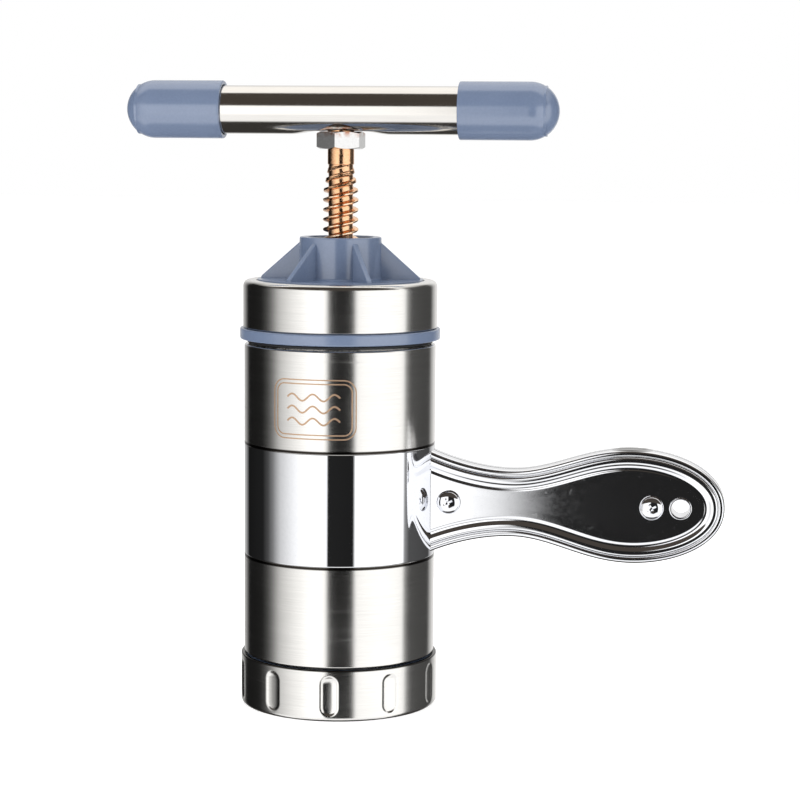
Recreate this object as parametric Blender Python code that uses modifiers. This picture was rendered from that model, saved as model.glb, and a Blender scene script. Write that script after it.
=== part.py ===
"""A hand screw press: a steel barrel with a side handle, a screwed cap that carries the spindle and
its T-handle, a piston inside, and a screwed ring that holds the sieve plate at the bottom.

+Z is up along the barrel, the base ring stands at z = 0, and the side handle points along +X. The
origin is under the middle of the whole press, so the barrel's axis stands a little to its -X side.
"""

import math

import bmesh
import bpy
from mathutils import Matrix, Vector
from mathutils.geometry import interpolate_bezier

MM = 0.001
TAU = 2 * math.pi

# Fits and facets
SEAM = 0.3 * MM
ROUND_STEPS = 32
SMALL_STEPS = 16
SCREW_STEPS = 12
HANDLE_SPAN_POINTS = 7
DENT_ARC_POINTS = 6
SHOULDER_POINTS = 3
GRIP_BALL_POINTS = 4
SHARP_ANGLE = math.radians(35)
OVERLAP = 0.3 * MM
MARGIN = 2 * MM

# Barrel
BORE_RADIUS = 27.7 * MM
BARREL_WALL = 2.5 * MM
NECK_WALL = 0.9 * MM
SLEEVE_WALL = 1.5 * MM
LOWER_SLEEVE_HEIGHT = 34.3 * MM
UPPER_SLEEVE_HEIGHT = 34.3 * MM
EDGE_ROUNDING = 0.5 * MM

# Screw thread between the barrel and its cap and ring
JAR_LEAD = 4.0 * MM
JAR_DEPTH = 0.9 * MM
JAR_BASE = 1.6 * MM
JAR_CREST = 0.8 * MM
CAP_TURNS = 2.25
CAP_NUT_TURNS = 1.25
RING_TURNS = 1.75
RING_NUT_TURNS = 0.75
JAR_LEAD_IN = 2.4 * MM

# Strap and side handle
STRAP_HEIGHT = 35.1 * MM
HANDLE_REACH = 128.7 * MM
HANDLE_ROOT_SUNK = 0.9 * MM
HANDLE_ROOT_SETBACK = 0.35 * MM
HANDLE_WAIST_X = 58.5 * MM
HANDLE_WAIST_HALF = 11.1 * MM
HANDLE_BULGE_X = 98.0 * MM
HANDLE_BULGE_HALF = 18.8 * MM
HANDLE_THICKNESS = 11.0 * MM
HANDLE_SHEET = 1.2 * MM
HANDLE_ROUNDING = 1.0 * MM
HANDLE_SPLIT = 0.6 * MM
PANEL_INSET = 5.0 * MM
PANEL_DEPTH = 0.5 * MM
CLAMP_SCREW_GAP = 5.6 * MM
TIP_SCREW_X = 104.9 * MM
HANG_HOLE_X = 114.3 * MM
HANG_HOLE_RADIUS = 2.9 * MM
EYELET_WALL = 0.5 * MM
EYELET_FLANGE = 0.3 * MM
M4_RADIUS = 2.0 * MM
M4_HEAD_RADIUS = 4.0 * MM
M4_HEAD_HEIGHT = 2.4 * MM
M4_NUT_FLATS = 7.0 * MM
M4_NUT_HEIGHT = 3.2 * MM

# Bottom ring and sieve plate
RING_HEIGHT = 17.0 * MM
RING_OVERHANG = 1.0 * MM
RING_WALL = 1.4 * MM
RING_LIP_THICKNESS = 1.5 * MM
RING_LIP_REACH = 2.2 * MM
RING_ROUNDING = 1.2 * MM
DENT_COUNT = 10
DENT_FIRST_ANGLE = math.radians(4)
DENT_WIDTH = 6.0 * MM
DENT_HEIGHT = 13.5 * MM
DENT_DEPTH = 0.9 * MM
SIEVE_THICKNESS = 2.0 * MM
SIEVE_HOLE_RADIUS = 1.6 * MM
SIEVE_HOLE_PITCH = 6.6 * MM
SIEVE_RINGS = 3

# Cap
SEAL_SETBACK = 1.1 * MM
SEAL_HEIGHT = 0.9 * MM
FLANGE_OVERHANG = 1.45 * MM
FLANGE_HEIGHT = 3.7 * MM
CAP_SHELL_OVERHANG = 0.4 * MM
CAP_SHELL_WALL = 0.8 * MM
CAP_SHELL_HEIGHT = 15.6 * MM
CAP_LIP_WIDTH = 4.4 * MM
CAP_SHOULDER = 2.3 * MM
CAP_DISC_THICKNESS = 3.5 * MM
HUB_HEIGHT = 14.0 * MM
HUB_RADIUS = 13.65 * MM
HUB_MOUTH_RADIUS = 11.0 * MM
HUB_MOUTH_DEPTH = 6.7 * MM
RIB_COUNT = 6
RIB_FIRST_ANGLE = math.radians(30)
RIB_THICKNESS = 1.8 * MM
RIB_DROP = 1.8 * MM
RIB_SETBACK = 1.2 * MM
BUSH_RADIUS = 10.0 * MM
BUSH_FLANGE_RADIUS = 13.5 * MM
BUSH_FLANGE_HEIGHT = 3.0 * MM

# Spindle
SPINDLE_LEAD = 6.5 * MM
SPINDLE_STARTS = 2
SPINDLE_CORE_RADIUS = 4.1 * MM
JOURNAL_RADIUS = 3.8 * MM
SPINDLE_RADIUS = 6.0 * MM
FIN_BASE = 1.7 * MM
FIN_CREST = 0.6 * MM
SPINDLE_NECK_RADIUS = 4.4 * MM
SPINDLE_NECK_LENGTH = 5.0 * MM
RUN_OUT_LENGTH = 9.5 * MM
SPINDLE_SHOWN = 29.0 * MM
SPINDLE_DEPTH_IN_BAR = 6.0 * MM
BAR_NUT_FLATS = 14.5 * MM
BAR_NUT_HEIGHT = 5.8 * MM
BAR_NUT_TURN = math.radians(-5)
BAR_NUT_SUNK = 1.0 * MM

# T-handle
BAR_LENGTH = 144.8 * MM
TUBE_RADIUS = 8.0 * MM
TUBE_WALL = 2.0 * MM
GRIP_LENGTH = 32.9 * MM
GRIP_WALL = 1.3 * MM
GRIP_END_WALL = 4.0 * MM
GRIP_BORE_POINT = 1.0 * MM

# Piston
PISTON_DOWN_TRAVEL = 28.0 * MM
PISTON_FLOOR_GAP = 2.0 * MM
PISTON_FACE_THICKNESS = 2.0 * MM
PISTON_BODY_THICKNESS = 7.7 * MM
PISTON_CLEARANCE = 0.6 * MM
PISTON_SEAL_WIDTH = 1.9 * MM
PISTON_SEAL_HEIGHT = 2.2 * MM
PISTON_SCREW_HEAD_RADIUS = 7.0 * MM
PISTON_SCREW_HEAD_HEIGHT = 2.3 * MM
PISTON_SCREW_RADIUS = 2.0 * MM
WASHER_RADIUS = 8.0 * MM
WASHER_THICKNESS = 0.8 * MM

# Radii that follow from the sizes above
BARREL_RADIUS = BORE_RADIUS + BARREL_WALL
NECK_RADIUS = BORE_RADIUS + NECK_WALL
NECK_CREST_RADIUS = NECK_RADIUS + JAR_DEPTH
NUT_TIP_RADIUS = NECK_RADIUS + SEAM
NUT_ROOT_RADIUS = NECK_CREST_RADIUS + SEAM
SLEEVE_BORE_RADIUS = BARREL_RADIUS + SEAM
SLEEVE_RADIUS = SLEEVE_BORE_RADIUS + SLEEVE_WALL
SEAL_RADIUS = SLEEVE_RADIUS - SEAL_SETBACK
FLANGE_RADIUS = SLEEVE_RADIUS + FLANGE_OVERHANG
CAP_SHELL_RADIUS = SLEEVE_RADIUS + CAP_SHELL_OVERHANG
CAP_OPENING_RADIUS = CAP_SHELL_RADIUS - CAP_LIP_WIDTH
CAP_SKIRT_RADIUS = CAP_SHELL_RADIUS - CAP_SHELL_WALL - SEAM
RIB_REACH = CAP_OPENING_RADIUS - RIB_SETBACK
RING_RADIUS = SLEEVE_RADIUS + RING_OVERHANG
RING_LIP_RADIUS = BORE_RADIUS - RING_LIP_REACH
RING_INSERT_RADIUS = RING_RADIUS - RING_WALL - SEAM
SIEVE_RADIUS = NUT_TIP_RADIUS - SEAM
PISTON_BODY_RADIUS = BORE_RADIUS - PISTON_CLEARANCE
PISTON_SEAL_RADIUS = BORE_RADIUS - SEAM
GRIP_RADIUS = TUBE_RADIUS + SEAM + GRIP_WALL

# Places along the handle that follow from the barrel and the strap
HANDLE_ROOT = SLEEVE_RADIUS - HANDLE_ROOT_SUNK
HANDLE_ROOT_HALF = STRAP_HEIGHT / 2 - HANDLE_ROOT_SETBACK
CLAMP_SCREW_X = SLEEVE_RADIUS + CLAMP_SCREW_GAP

# Heights that follow from the sizes above, from the base upwards
SIEVE_BOTTOM = RING_LIP_THICKNESS + SEAM
SIEVE_TOP = SIEVE_BOTTOM + SIEVE_THICKNESS
BARREL_BOTTOM = SIEVE_TOP + SEAM
LOWER_SLEEVE_BOTTOM = RING_HEIGHT + SEAM
STRAP_BOTTOM = LOWER_SLEEVE_BOTTOM + LOWER_SLEEVE_HEIGHT + SEAM
HANDLE_Z = STRAP_BOTTOM + STRAP_HEIGHT / 2
UPPER_SLEEVE_BOTTOM = STRAP_BOTTOM + STRAP_HEIGHT + SEAM
UPPER_SLEEVE_TOP = UPPER_SLEEVE_BOTTOM + UPPER_SLEEVE_HEIGHT
SEAL_BOTTOM = UPPER_SLEEVE_TOP + SEAM
FLANGE_BOTTOM = SEAL_BOTTOM + SEAL_HEIGHT + SEAM
FLANGE_TOP = FLANGE_BOTTOM + FLANGE_HEIGHT
CAP_SHELL_BOTTOM = FLANGE_TOP + SEAM
CAP_SHELL_TOP = CAP_SHELL_BOTTOM + CAP_SHELL_HEIGHT
CAP_DISC_TOP = CAP_SHELL_TOP + SEAM
CAP_DISC_BOTTOM = CAP_DISC_TOP - CAP_DISC_THICKNESS
BARREL_TOP = CAP_DISC_BOTTOM - SEAM
HUB_TOP = CAP_DISC_TOP + HUB_HEIGHT
BUSH_TOP = HUB_TOP - HUB_MOUTH_DEPTH - SEAM
BUSH_FLANGE_TOP = CAP_DISC_BOTTOM - SEAM
BUSH_BOTTOM = BUSH_FLANGE_TOP - BUSH_FLANGE_HEIGHT
BAR_NUT_BOTTOM = HUB_TOP + SPINDLE_SHOWN
BAR_NUT_TOP = BAR_NUT_BOTTOM + BAR_NUT_HEIGHT
BAR_Z = BAR_NUT_TOP - BAR_NUT_SUNK + TUBE_RADIUS

CAP_THREAD_Z = FLANGE_BOTTOM + JAR_LEAD_IN
RING_THREAD_Z = BARREL_BOTTOM + JAR_LEAD_IN

PISTON_BOTTOM = SIEVE_TOP + PISTON_FLOOR_GAP + PISTON_DOWN_TRAVEL
PISTON_BODY_BOTTOM = PISTON_BOTTOM + PISTON_FACE_THICKNESS + SEAM
PISTON_BODY_TOP = PISTON_BODY_BOTTOM + PISTON_BODY_THICKNESS
PISTON_SCREW_BOTTOM = PISTON_BODY_BOTTOM + SEAM
SPINDLE_BOTTOM = PISTON_SCREW_BOTTOM + PISTON_SCREW_HEAD_HEIGHT + SEAM
PISTON_SEAL_BOTTOM = (PISTON_BODY_BOTTOM + PISTON_BODY_TOP - PISTON_SEAL_HEIGHT) / 2
WASHER_BOTTOM = PISTON_BODY_TOP + SEAM
THREAD_BOTTOM = WASHER_BOTTOM + WASHER_THICKNESS + SEAM
NECK_BOTTOM = BAR_NUT_BOTTOM - SPINDLE_NECK_LENGTH
THREAD_TOP = NECK_BOTTOM - RUN_OUT_LENGTH

# The barrel's axis stands here so that the whole press is centred on the origin
BARREL_X = (BAR_LENGTH / 2 - HANDLE_REACH) / 2

BLUE_GREY = (0.25, 0.31, 0.45)
STEEL = (0.62, 0.61, 0.59)
POLISHED = (0.72, 0.71, 0.70)
COPPER = (0.72, 0.45, 0.27)
BLACK = (0.02, 0.02, 0.02)


def clear_scene():
    for old in list(bpy.data.objects):
        bpy.data.objects.remove(old)


def make_collection(name):
    collection = bpy.data.collections.new(name)
    bpy.context.scene.collection.children.link(collection)
    return collection


def add_object(name, mesh):
    piece = bpy.data.objects.new(name, mesh)
    PRESS.objects.link(piece)
    return piece


def turned(name, profile, steps=ROUND_STEPS):
    """A profile of (radius, z) points, down its outer side first, turned about Z.

    A profile that starts and ends on the axis is left open there, and any other is closed.
    """
    count = len(profile)
    on_axis = profile[0][0] == 0 and profile[-1][0] == 0
    edges = [(i, (i + 1) % count) for i in range(count - on_axis)]
    mesh = bpy.data.meshes.new(name)
    mesh.from_pydata([(r, 0, z) for r, z in profile], edges, [])
    piece = add_object(name, mesh)
    screw = piece.modifiers.new("Turn", "SCREW")
    screw.steps = steps
    screw.render_steps = steps
    screw.use_merge_vertices = True
    screw.merge_threshold = 0.00001
    return piece


def tube(name, inner, outer, bottom, top, steps=ROUND_STEPS):
    profile = [(outer, top), (outer, bottom), (inner, bottom), (inner, top)]
    return turned(name, profile, steps)


def rounded_tube(name, inner, outer, bottom, top, rounding):
    """A tube whose two outer edges are eased."""
    profile = [
        (outer - rounding, top),
        (outer, top - rounding),
        (outer, bottom + rounding),
        (outer - rounding, bottom),
        (inner, bottom),
        (inner, top),
    ]
    return turned(name, profile)


def cylinder(name, radius, bottom, top, steps=ROUND_STEPS):
    bm = bmesh.new()
    bmesh.ops.create_cone(
        bm,
        cap_ends=True,
        segments=steps,
        radius1=radius,
        radius2=radius,
        depth=top - bottom,
        matrix=Matrix.Translation((0, 0, (bottom + top) / 2)),
    )
    return from_bmesh(name, bm)


def hexagon(name, flats, bottom, top):
    """A six-sided prism that measures flats across its flat sides."""
    return cylinder(name, flats / math.sqrt(3), bottom, top, steps=6)


def box(name, low, high):
    bm = bmesh.new()
    bmesh.ops.create_cube(bm, size=1)
    low, high = Vector(low), Vector(high)
    bmesh.ops.scale(bm, vec=high - low, verts=bm.verts)
    bmesh.ops.translate(bm, vec=(low + high) / 2, verts=bm.verts)
    return from_bmesh(name, bm)


def from_bmesh(name, bm):
    mesh = bpy.data.meshes.new(name)
    bm.to_mesh(mesh)
    bm.free()
    return add_object(name, mesh)


def plate(name, outline, thickness):
    """A flat outline in X and Z, given thickness evenly to both sides of Y = 0."""
    curve = bpy.data.curves.new(name, "CURVE")
    curve.dimensions = "2D"
    curve.fill_mode = "BOTH"
    curve.extrude = thickness / 2
    spline = curve.splines.new("POLY")
    spline.points.add(len(outline) - 1)
    for point, (x, z) in zip(spline.points, outline):
        point.co = (x, z, 0, 1)
    spline.use_cyclic_u = True
    source = add_object(name + "_outline", curve)
    mesh = bpy.data.meshes.new_from_object(source.evaluated_get(evaluated_scene()))
    bpy.data.objects.remove(source)
    bm = bmesh.new()
    bm.from_mesh(mesh)
    bmesh.ops.remove_doubles(bm, verts=bm.verts, dist=0.00001)
    bmesh.ops.rotate(bm, matrix=Matrix.Rotation(math.pi / 2, 3, "X"), verts=bm.verts)
    bmesh.ops.recalc_face_normals(bm, faces=bm.faces)
    return from_bmesh(name, bm)


def helix(name, section, lead, bottom, top, steps, phase=0):
    """A closed ridge: a section of (radius, z) points, carried up a right-hand helix about Z.

    The section stands at the angle TAU * z / lead + phase at every height z, so ridges and grooves
    of one lead and phase share one helix, wherever they start.
    """
    bm = bmesh.new()
    verts = [bm.verts.new((r, 0, bottom + z)) for r, z in section]
    edges = [bm.edges.new((verts[i - 1], verts[i])) for i in range(len(verts))]
    start = TAU * bottom / lead + phase
    bmesh.ops.rotate(bm, matrix=Matrix.Rotation(start, 3, "Z"), verts=verts)
    count = round((top - bottom) / lead * steps)
    bmesh.ops.spin(
        bm,
        geom=verts + edges,
        axis=(0, 0, 1),
        cent=(0, 0, 0),
        dvec=(0, 0, lead / steps),
        angle=TAU * count / steps,
        steps=count,
        space=Matrix(),
    )
    bmesh.ops.holes_fill(bm, edges=bm.edges)
    bmesh.ops.recalc_face_normals(bm, faces=bm.faces)
    return from_bmesh(name, bm)


def evaluated_scene():
    bpy.context.view_layer.update()
    return bpy.context.evaluated_depsgraph_get()


def boolean(piece, tool, operation):
    modifier = piece.modifiers.new(operation.title(), "BOOLEAN")
    modifier.operation = operation
    modifier.solver = "EXACT"
    modifier.object = tool
    PRESS.objects.unlink(tool)
    CUTTERS.objects.link(tool)
    tool.hide_render = True
    tool.display_type = "WIRE"


def cut(piece, tool):
    boolean(piece, tool, "DIFFERENCE")


def join(piece, tool):
    boolean(piece, tool, "UNION")


def finish(piece, colour, roughness, metallic):
    """Settles the modifiers into the mesh, marks its sharp edges and gives it its material."""
    mesh = bpy.data.meshes.new_from_object(piece.evaluated_get(evaluated_scene()))
    mesh.name = piece.name
    piece.modifiers.clear()
    piece.data = mesh
    mesh.shade_smooth()
    mesh.set_sharp_from_angle(angle=SHARP_ANGLE)
    material = bpy.data.materials.new(piece.name)
    material.use_nodes = True
    shader = material.node_tree.nodes["Principled BSDF"]
    shader.inputs["Base Color"].default_value = (*colour, 1)
    shader.inputs["Roughness"].default_value = roughness
    shader.inputs["Metallic"].default_value = metallic
    mesh.materials.clear()
    mesh.materials.append(material)
    return piece


def brushed(piece):
    return finish(piece, STEEL, 0.32, 1)


def polished(piece):
    return finish(piece, POLISHED, 0.08, 1)


def plastic(piece):
    return finish(piece, BLUE_GREY, 0.3, 0)


def rubber(piece):
    return finish(piece, BLACK, 0.6, 0)


def coppered(piece):
    return finish(piece, COPPER, 0.2, 1)


def ridge_section(root, crest, base_width, crest_width):
    """A trapezium that stands on the root radius, sunk into it by an overlap."""
    sunk = root - OVERLAP if crest > root else root + OVERLAP
    return [
        (sunk, -base_width / 2),
        (crest, -crest_width / 2),
        (crest, crest_width / 2),
        (sunk, base_width / 2),
    ]


def neck_ridge(name, first_z, turns):
    section = ridge_section(NECK_RADIUS, NECK_CREST_RADIUS, JAR_BASE, JAR_CREST)
    return helix(name, section, JAR_LEAD, first_z, first_z + turns * JAR_LEAD, ROUND_STEPS)


def nut_ridge(name, first_z, turns):
    """The ridge inside a cap or ring, half a turn from the neck's, so the two interleave."""
    section = ridge_section(NUT_ROOT_RADIUS, NUT_TIP_RADIUS, JAR_BASE, JAR_CREST)
    last_z = first_z + turns * JAR_LEAD
    return helix(name, section, JAR_LEAD, first_z, last_z, ROUND_STEPS, math.pi)


# Barrel


def make_barrel_tube():
    """The cylinder that holds the food, with a thinner threaded neck at each end."""
    neck_top = UPPER_SLEEVE_TOP
    neck_bottom = RING_HEIGHT
    profile = [
        (NECK_RADIUS, BARREL_TOP),
        (NECK_RADIUS, neck_top),
        (BARREL_RADIUS, neck_top),
        (BARREL_RADIUS, neck_bottom),
        (NECK_RADIUS, neck_bottom),
        (NECK_RADIUS, BARREL_BOTTOM),
        (BORE_RADIUS, BARREL_BOTTOM),
        (BORE_RADIUS, BARREL_TOP),
    ]
    barrel = turned("barrel_tube", profile)
    join(barrel, neck_ridge("upper_neck_ridge", CAP_THREAD_Z, CAP_TURNS))
    join(barrel, neck_ridge("lower_neck_ridge", RING_THREAD_Z, RING_TURNS))
    return finish(barrel, STEEL, 0.25, 1)


def make_sleeve(name, bottom, height):
    sleeve = rounded_tube(
        name, SLEEVE_BORE_RADIUS, SLEEVE_RADIUS, bottom, bottom + height, EDGE_ROUNDING
    )
    return brushed(sleeve)


# Side handle


def handle_outline(inset):
    """The handle's outline around its tip, from its upper root to its lower, moved inwards."""
    root = (HANDLE_ROOT, HANDLE_ROOT_HALF)
    waist = (HANDLE_WAIST_X, HANDLE_WAIST_HALF)
    bulge = (HANDLE_BULGE_X, HANDLE_BULGE_HALF)
    spans = [
        (root, (0.25, 0.49), (0.38, 0), waist),
        (waist, (0.34, 0), (0.40, 0), bulge),
        (bulge, (0.49, 0), (0, 0.64), (HANDLE_REACH, 0)),
    ]
    path = []
    for start, leave, arrive, end in spans:
        start, end = Vector(start), Vector(end)
        first = start + (end - start) * Vector(leave)
        last = end - (end - start) * Vector(arrive)
        points = interpolate_bezier(start, first, last, end, HANDLE_SPAN_POINTS)
        path += points[1:] if path else points
    upper = []
    for before, here, after in zip(path[:1] + path, path, path[1:]):
        along = (after - before).normalized()
        upper.append(here + inset * Vector((along.y, -along.x)))
    upper[0].x = HANDLE_ROOT
    lower = [Vector((point.x, -point.y)) for point in reversed(upper)]
    return upper + [Vector((HANDLE_REACH - inset, 0))] + lower


def make_handle_half(name, side):
    """One dished half of the handle, side -1 for the front and 1 for the back."""
    face = HANDLE_THICKNESS / 2
    rings = [
        (PANEL_INSET, face - PANEL_DEPTH),
        (PANEL_INSET - PANEL_DEPTH, face),
        (HANDLE_ROUNDING, face),
        (0, face - HANDLE_ROUNDING),
        (0, HANDLE_SPLIT / 2),
    ]
    bm = bmesh.new()
    rows = [
        [bm.verts.new((x, side * depth, HANDLE_Z + z)) for x, z in handle_outline(inset)]
        for inset, depth in rings
    ]
    for inner, outer in zip(rows, rows[1:]):
        for k in range(len(inner) - 1):
            bm.faces.new((inner[k], inner[k + 1], outer[k + 1], outer[k]))
    panel = rows[0]
    for k in range(len(panel) // 2):
        corners = [panel[-1 - k], panel[-2 - k], panel[k + 1], panel[k]]
        bm.faces.new(dict.fromkeys(corners))
    if side > 0:
        bmesh.ops.reverse_faces(bm, faces=bm.faces)
    half = from_bmesh(name, bm)
    sheet = half.modifiers.new("Sheet", "SOLIDIFY")
    sheet.thickness = HANDLE_SHEET
    sheet.offset = -1
    sheet.use_even_offset = True
    cut(half, cross_hole(name + "_clamp", M4_RADIUS + SEAM, CLAMP_SCREW_X))
    cut(half, cross_hole(name + "_tip", M4_RADIUS + SEAM, TIP_SCREW_X))
    cut(half, cross_hole(name + "_eyelet", HANG_HOLE_RADIUS + EYELET_WALL + SEAM, HANG_HOLE_X))
    return half


def make_handle_strap():
    """A sheet band around the barrel, split at the handle, with the handle's halves on it."""
    strap_top = STRAP_BOTTOM + STRAP_HEIGHT
    strap = tube("handle_strap", SLEEVE_BORE_RADIUS, SLEEVE_RADIUS, STRAP_BOTTOM, strap_top)
    join(strap, make_handle_half("front_half", -1))
    join(strap, make_handle_half("back_half", 1))
    split = HANDLE_SPLIT / 2
    slot_low = (SLEEVE_BORE_RADIUS - MARGIN, -split, STRAP_BOTTOM - MARGIN)
    cut(strap, box("band_split", slot_low, (SLEEVE_RADIUS + MARGIN, split, strap_top + MARGIN)))
    return polished(strap)


def cross_hole(name, radius, x):
    hole = cylinder(name, radius, -HANDLE_THICKNESS, HANDLE_THICKNESS, SMALL_STEPS)
    return lay_across(hole, x)


def lay_across(piece, x):
    """Turns a piece made along Z so that its upper end faces the front, through the handle at x."""
    piece.rotation_euler.x = math.pi / 2
    piece.location = (x, 0, HANDLE_Z)
    return piece


def make_screw(name, x):
    """A pan-head screw with a cross recess, its head on the front face of the handle."""
    seat = HANDLE_THICKNESS / 2 - PANEL_DEPTH + SEAM
    head_top = seat + M4_HEAD_HEIGHT
    end = -(seat + M4_NUT_HEIGHT)
    profile = [
        (0, head_top),
        (0.55 * M4_HEAD_RADIUS, head_top - 0.1 * M4_HEAD_HEIGHT),
        (0.9 * M4_HEAD_RADIUS, head_top - 0.4 * M4_HEAD_HEIGHT),
        (M4_HEAD_RADIUS, head_top - 0.75 * M4_HEAD_HEIGHT),
        (M4_HEAD_RADIUS, seat),
        (M4_RADIUS, seat),
        (M4_RADIUS, end),
        (0, end),
    ]
    screw = turned(name, profile, SMALL_STEPS)
    long, short = 0.5 * M4_HEAD_RADIUS, 0.13 * M4_HEAD_RADIUS
    floor = head_top - 0.6 * M4_HEAD_HEIGHT
    cross = box(name + "_slot_a", (-long, -short, floor), (long, short, head_top + MARGIN))
    join(cross, box(name + "_slot_b", (-short, -long, floor), (short, long, head_top + MARGIN / 2)))
    cut(screw, cross)
    return lay_across(polished(screw), x)


def make_nut(name, x):
    seat = HANDLE_THICKNESS / 2 - PANEL_DEPTH + SEAM
    nut = hexagon(name, M4_NUT_FLATS, -(seat + M4_NUT_HEIGHT), -seat)
    bore = cylinder(name + "_bore", M4_RADIUS + SEAM, -HANDLE_THICKNESS, 0, SMALL_STEPS)
    cut(nut, bore)
    return lay_across(polished(nut), x)


def make_hang_eyelet():
    """A rolled tube that lines the hanging hole, with a flange on each face of the handle."""
    seat = HANDLE_THICKNESS / 2 - PANEL_DEPTH + SEAM
    face = seat + EYELET_WALL
    outer = HANG_HOLE_RADIUS + EYELET_WALL
    rim = outer + EYELET_FLANGE
    profile = [
        (rim - EYELET_WALL, face),
        (rim, seat),
        (outer, seat),
        (outer, -seat),
        (rim, -seat),
        (rim - EYELET_WALL, -face),
        (HANG_HOLE_RADIUS, -face),
        (HANG_HOLE_RADIUS, face),
    ]
    return lay_across(polished(turned("hang_eyelet", profile, SMALL_STEPS)), HANG_HOLE_X)


# Bottom ring


def make_ring_shell():
    """The pressed steel ring: a wall with ten grip dents, and a lip under the sieve plate."""
    inner = RING_RADIUS - RING_WALL
    profile = [
        (RING_RADIUS - EDGE_ROUNDING, RING_HEIGHT),
        (RING_RADIUS, RING_HEIGHT - EDGE_ROUNDING),
        (RING_RADIUS, RING_ROUNDING),
        (RING_RADIUS - 0.3 * RING_ROUNDING, 0.3 * RING_ROUNDING),
        (RING_RADIUS - RING_ROUNDING, 0),
        (RING_LIP_RADIUS, 0),
        (RING_LIP_RADIUS, RING_LIP_THICKNESS),
        (inner, RING_LIP_THICKNESS),
        (inner, RING_HEIGHT),
    ]
    shell = turned("ring_shell", profile)
    for number in range(DENT_COUNT):
        angle = DENT_FIRST_ANGLE + TAU * number / DENT_COUNT
        cut(shell, dent_tool(f"dent_{number}", angle))
    return brushed(shell)


def dent_tool(name, angle):
    """A stadium-shaped block that bites DENT_DEPTH into the ring, angle from -Y towards +X."""
    half, straight = DENT_WIDTH / 2, (DENT_HEIGHT - DENT_WIDTH) / 2
    arc = [math.pi * i / DENT_ARC_POINTS for i in range(DENT_ARC_POINTS + 1)]
    top = [(half * math.cos(a), straight + half * math.sin(a)) for a in arc]
    outline = top + [(-x, -z) for x, z in top]
    block = plate(name, outline, 2 * DENT_DEPTH)
    direction = Vector((math.sin(angle), -math.cos(angle)))
    block.location = (*(RING_RADIUS * direction), RING_HEIGHT / 2)
    block.rotation_euler.z = angle
    return block


def make_ring_insert():
    """The threaded sleeve inside the bottom ring."""
    bottom = BARREL_BOTTOM
    insert = tube("ring_insert", NUT_ROOT_RADIUS, RING_INSERT_RADIUS, bottom, RING_HEIGHT - SEAM)
    join(insert, nut_ridge("ring_nut_ridge", RING_THREAD_Z, RING_NUT_TURNS))
    return plastic(insert)


def make_sieve_plate():
    """The plate that the food is pressed through, with rings of holes around a plain centre."""
    sieve = cylinder("sieve_plate", SIEVE_RADIUS, SIEVE_BOTTOM, SIEVE_TOP)
    for ring in range(1, SIEVE_RINGS + 1):
        for number in range(6 * ring):
            hole = cylinder(f"sieve_hole_{ring}_{number}", SIEVE_HOLE_RADIUS, 0, 2 * SIEVE_TOP, 6)
            angle = TAU * number / (6 * ring)
            reach = ring * SIEVE_HOLE_PITCH
            hole.location = (reach * math.cos(angle), reach * math.sin(angle), 0)
            cut(sieve, hole)
    return brushed(sieve)


# Cap


def make_cap_seal():
    seal = tube("cap_seal", NUT_ROOT_RADIUS, SEAL_RADIUS, SEAL_BOTTOM, SEAL_BOTTOM + SEAL_HEIGHT)
    return rubber(seal)


def make_cap_insert():
    """The plastic body of the cap: threaded skirt, foot flange, top disc, ribbed hub."""
    disc_radius = CAP_OPENING_RADIUS - SEAM
    under_lip = CAP_SHELL_TOP - CAP_SHELL_WALL - SEAM
    bush_pocket = BUSH_RADIUS + SEAM
    profile = [
        (HUB_RADIUS - EDGE_ROUNDING, HUB_TOP),
        (HUB_RADIUS, HUB_TOP - EDGE_ROUNDING),
        (HUB_RADIUS, CAP_DISC_TOP),
        (disc_radius, CAP_DISC_TOP),
        (disc_radius, under_lip),
        (CAP_SKIRT_RADIUS - CAP_SHOULDER, under_lip),
        (CAP_SKIRT_RADIUS, under_lip - CAP_SHOULDER),
        (CAP_SKIRT_RADIUS, FLANGE_TOP),
        (FLANGE_RADIUS - EDGE_ROUNDING, FLANGE_TOP),
        (FLANGE_RADIUS, FLANGE_TOP - EDGE_ROUNDING),
        (FLANGE_RADIUS, FLANGE_BOTTOM + EDGE_ROUNDING),
        (FLANGE_RADIUS - EDGE_ROUNDING, FLANGE_BOTTOM),
        (NUT_ROOT_RADIUS, FLANGE_BOTTOM),
        (NUT_ROOT_RADIUS, CAP_DISC_BOTTOM),
        (bush_pocket, CAP_DISC_BOTTOM),
        (bush_pocket, HUB_TOP - HUB_MOUTH_DEPTH),
        (HUB_MOUTH_RADIUS, HUB_TOP - HUB_MOUTH_DEPTH),
        (HUB_MOUTH_RADIUS, HUB_TOP),
    ]
    insert = turned("cap_insert", profile)
    join(insert, nut_ridge("cap_nut_ridge", CAP_THREAD_Z, CAP_NUT_TURNS))
    for number in range(RIB_COUNT):
        angle = RIB_FIRST_ANGLE + TAU * number / RIB_COUNT
        join(insert, rib_tool(f"rib_{number}", angle))
    return plastic(insert)


def rib_tool(name, angle):
    """A sloping rib from the hub down to the disc, angle from -Y towards +X."""
    inside = (HUB_RADIUS + HUB_MOUTH_RADIUS) / 2
    root = CAP_DISC_TOP - OVERLAP
    outline = [
        (inside, root),
        (RIB_REACH, root),
        (RIB_REACH, CAP_DISC_TOP + OVERLAP),
        (HUB_RADIUS, HUB_TOP - RIB_DROP),
        (inside, HUB_TOP - RIB_DROP),
    ]
    rib = plate(name, outline, RIB_THICKNESS)
    rib.rotation_euler.z = angle - math.pi / 2
    return rib


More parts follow.
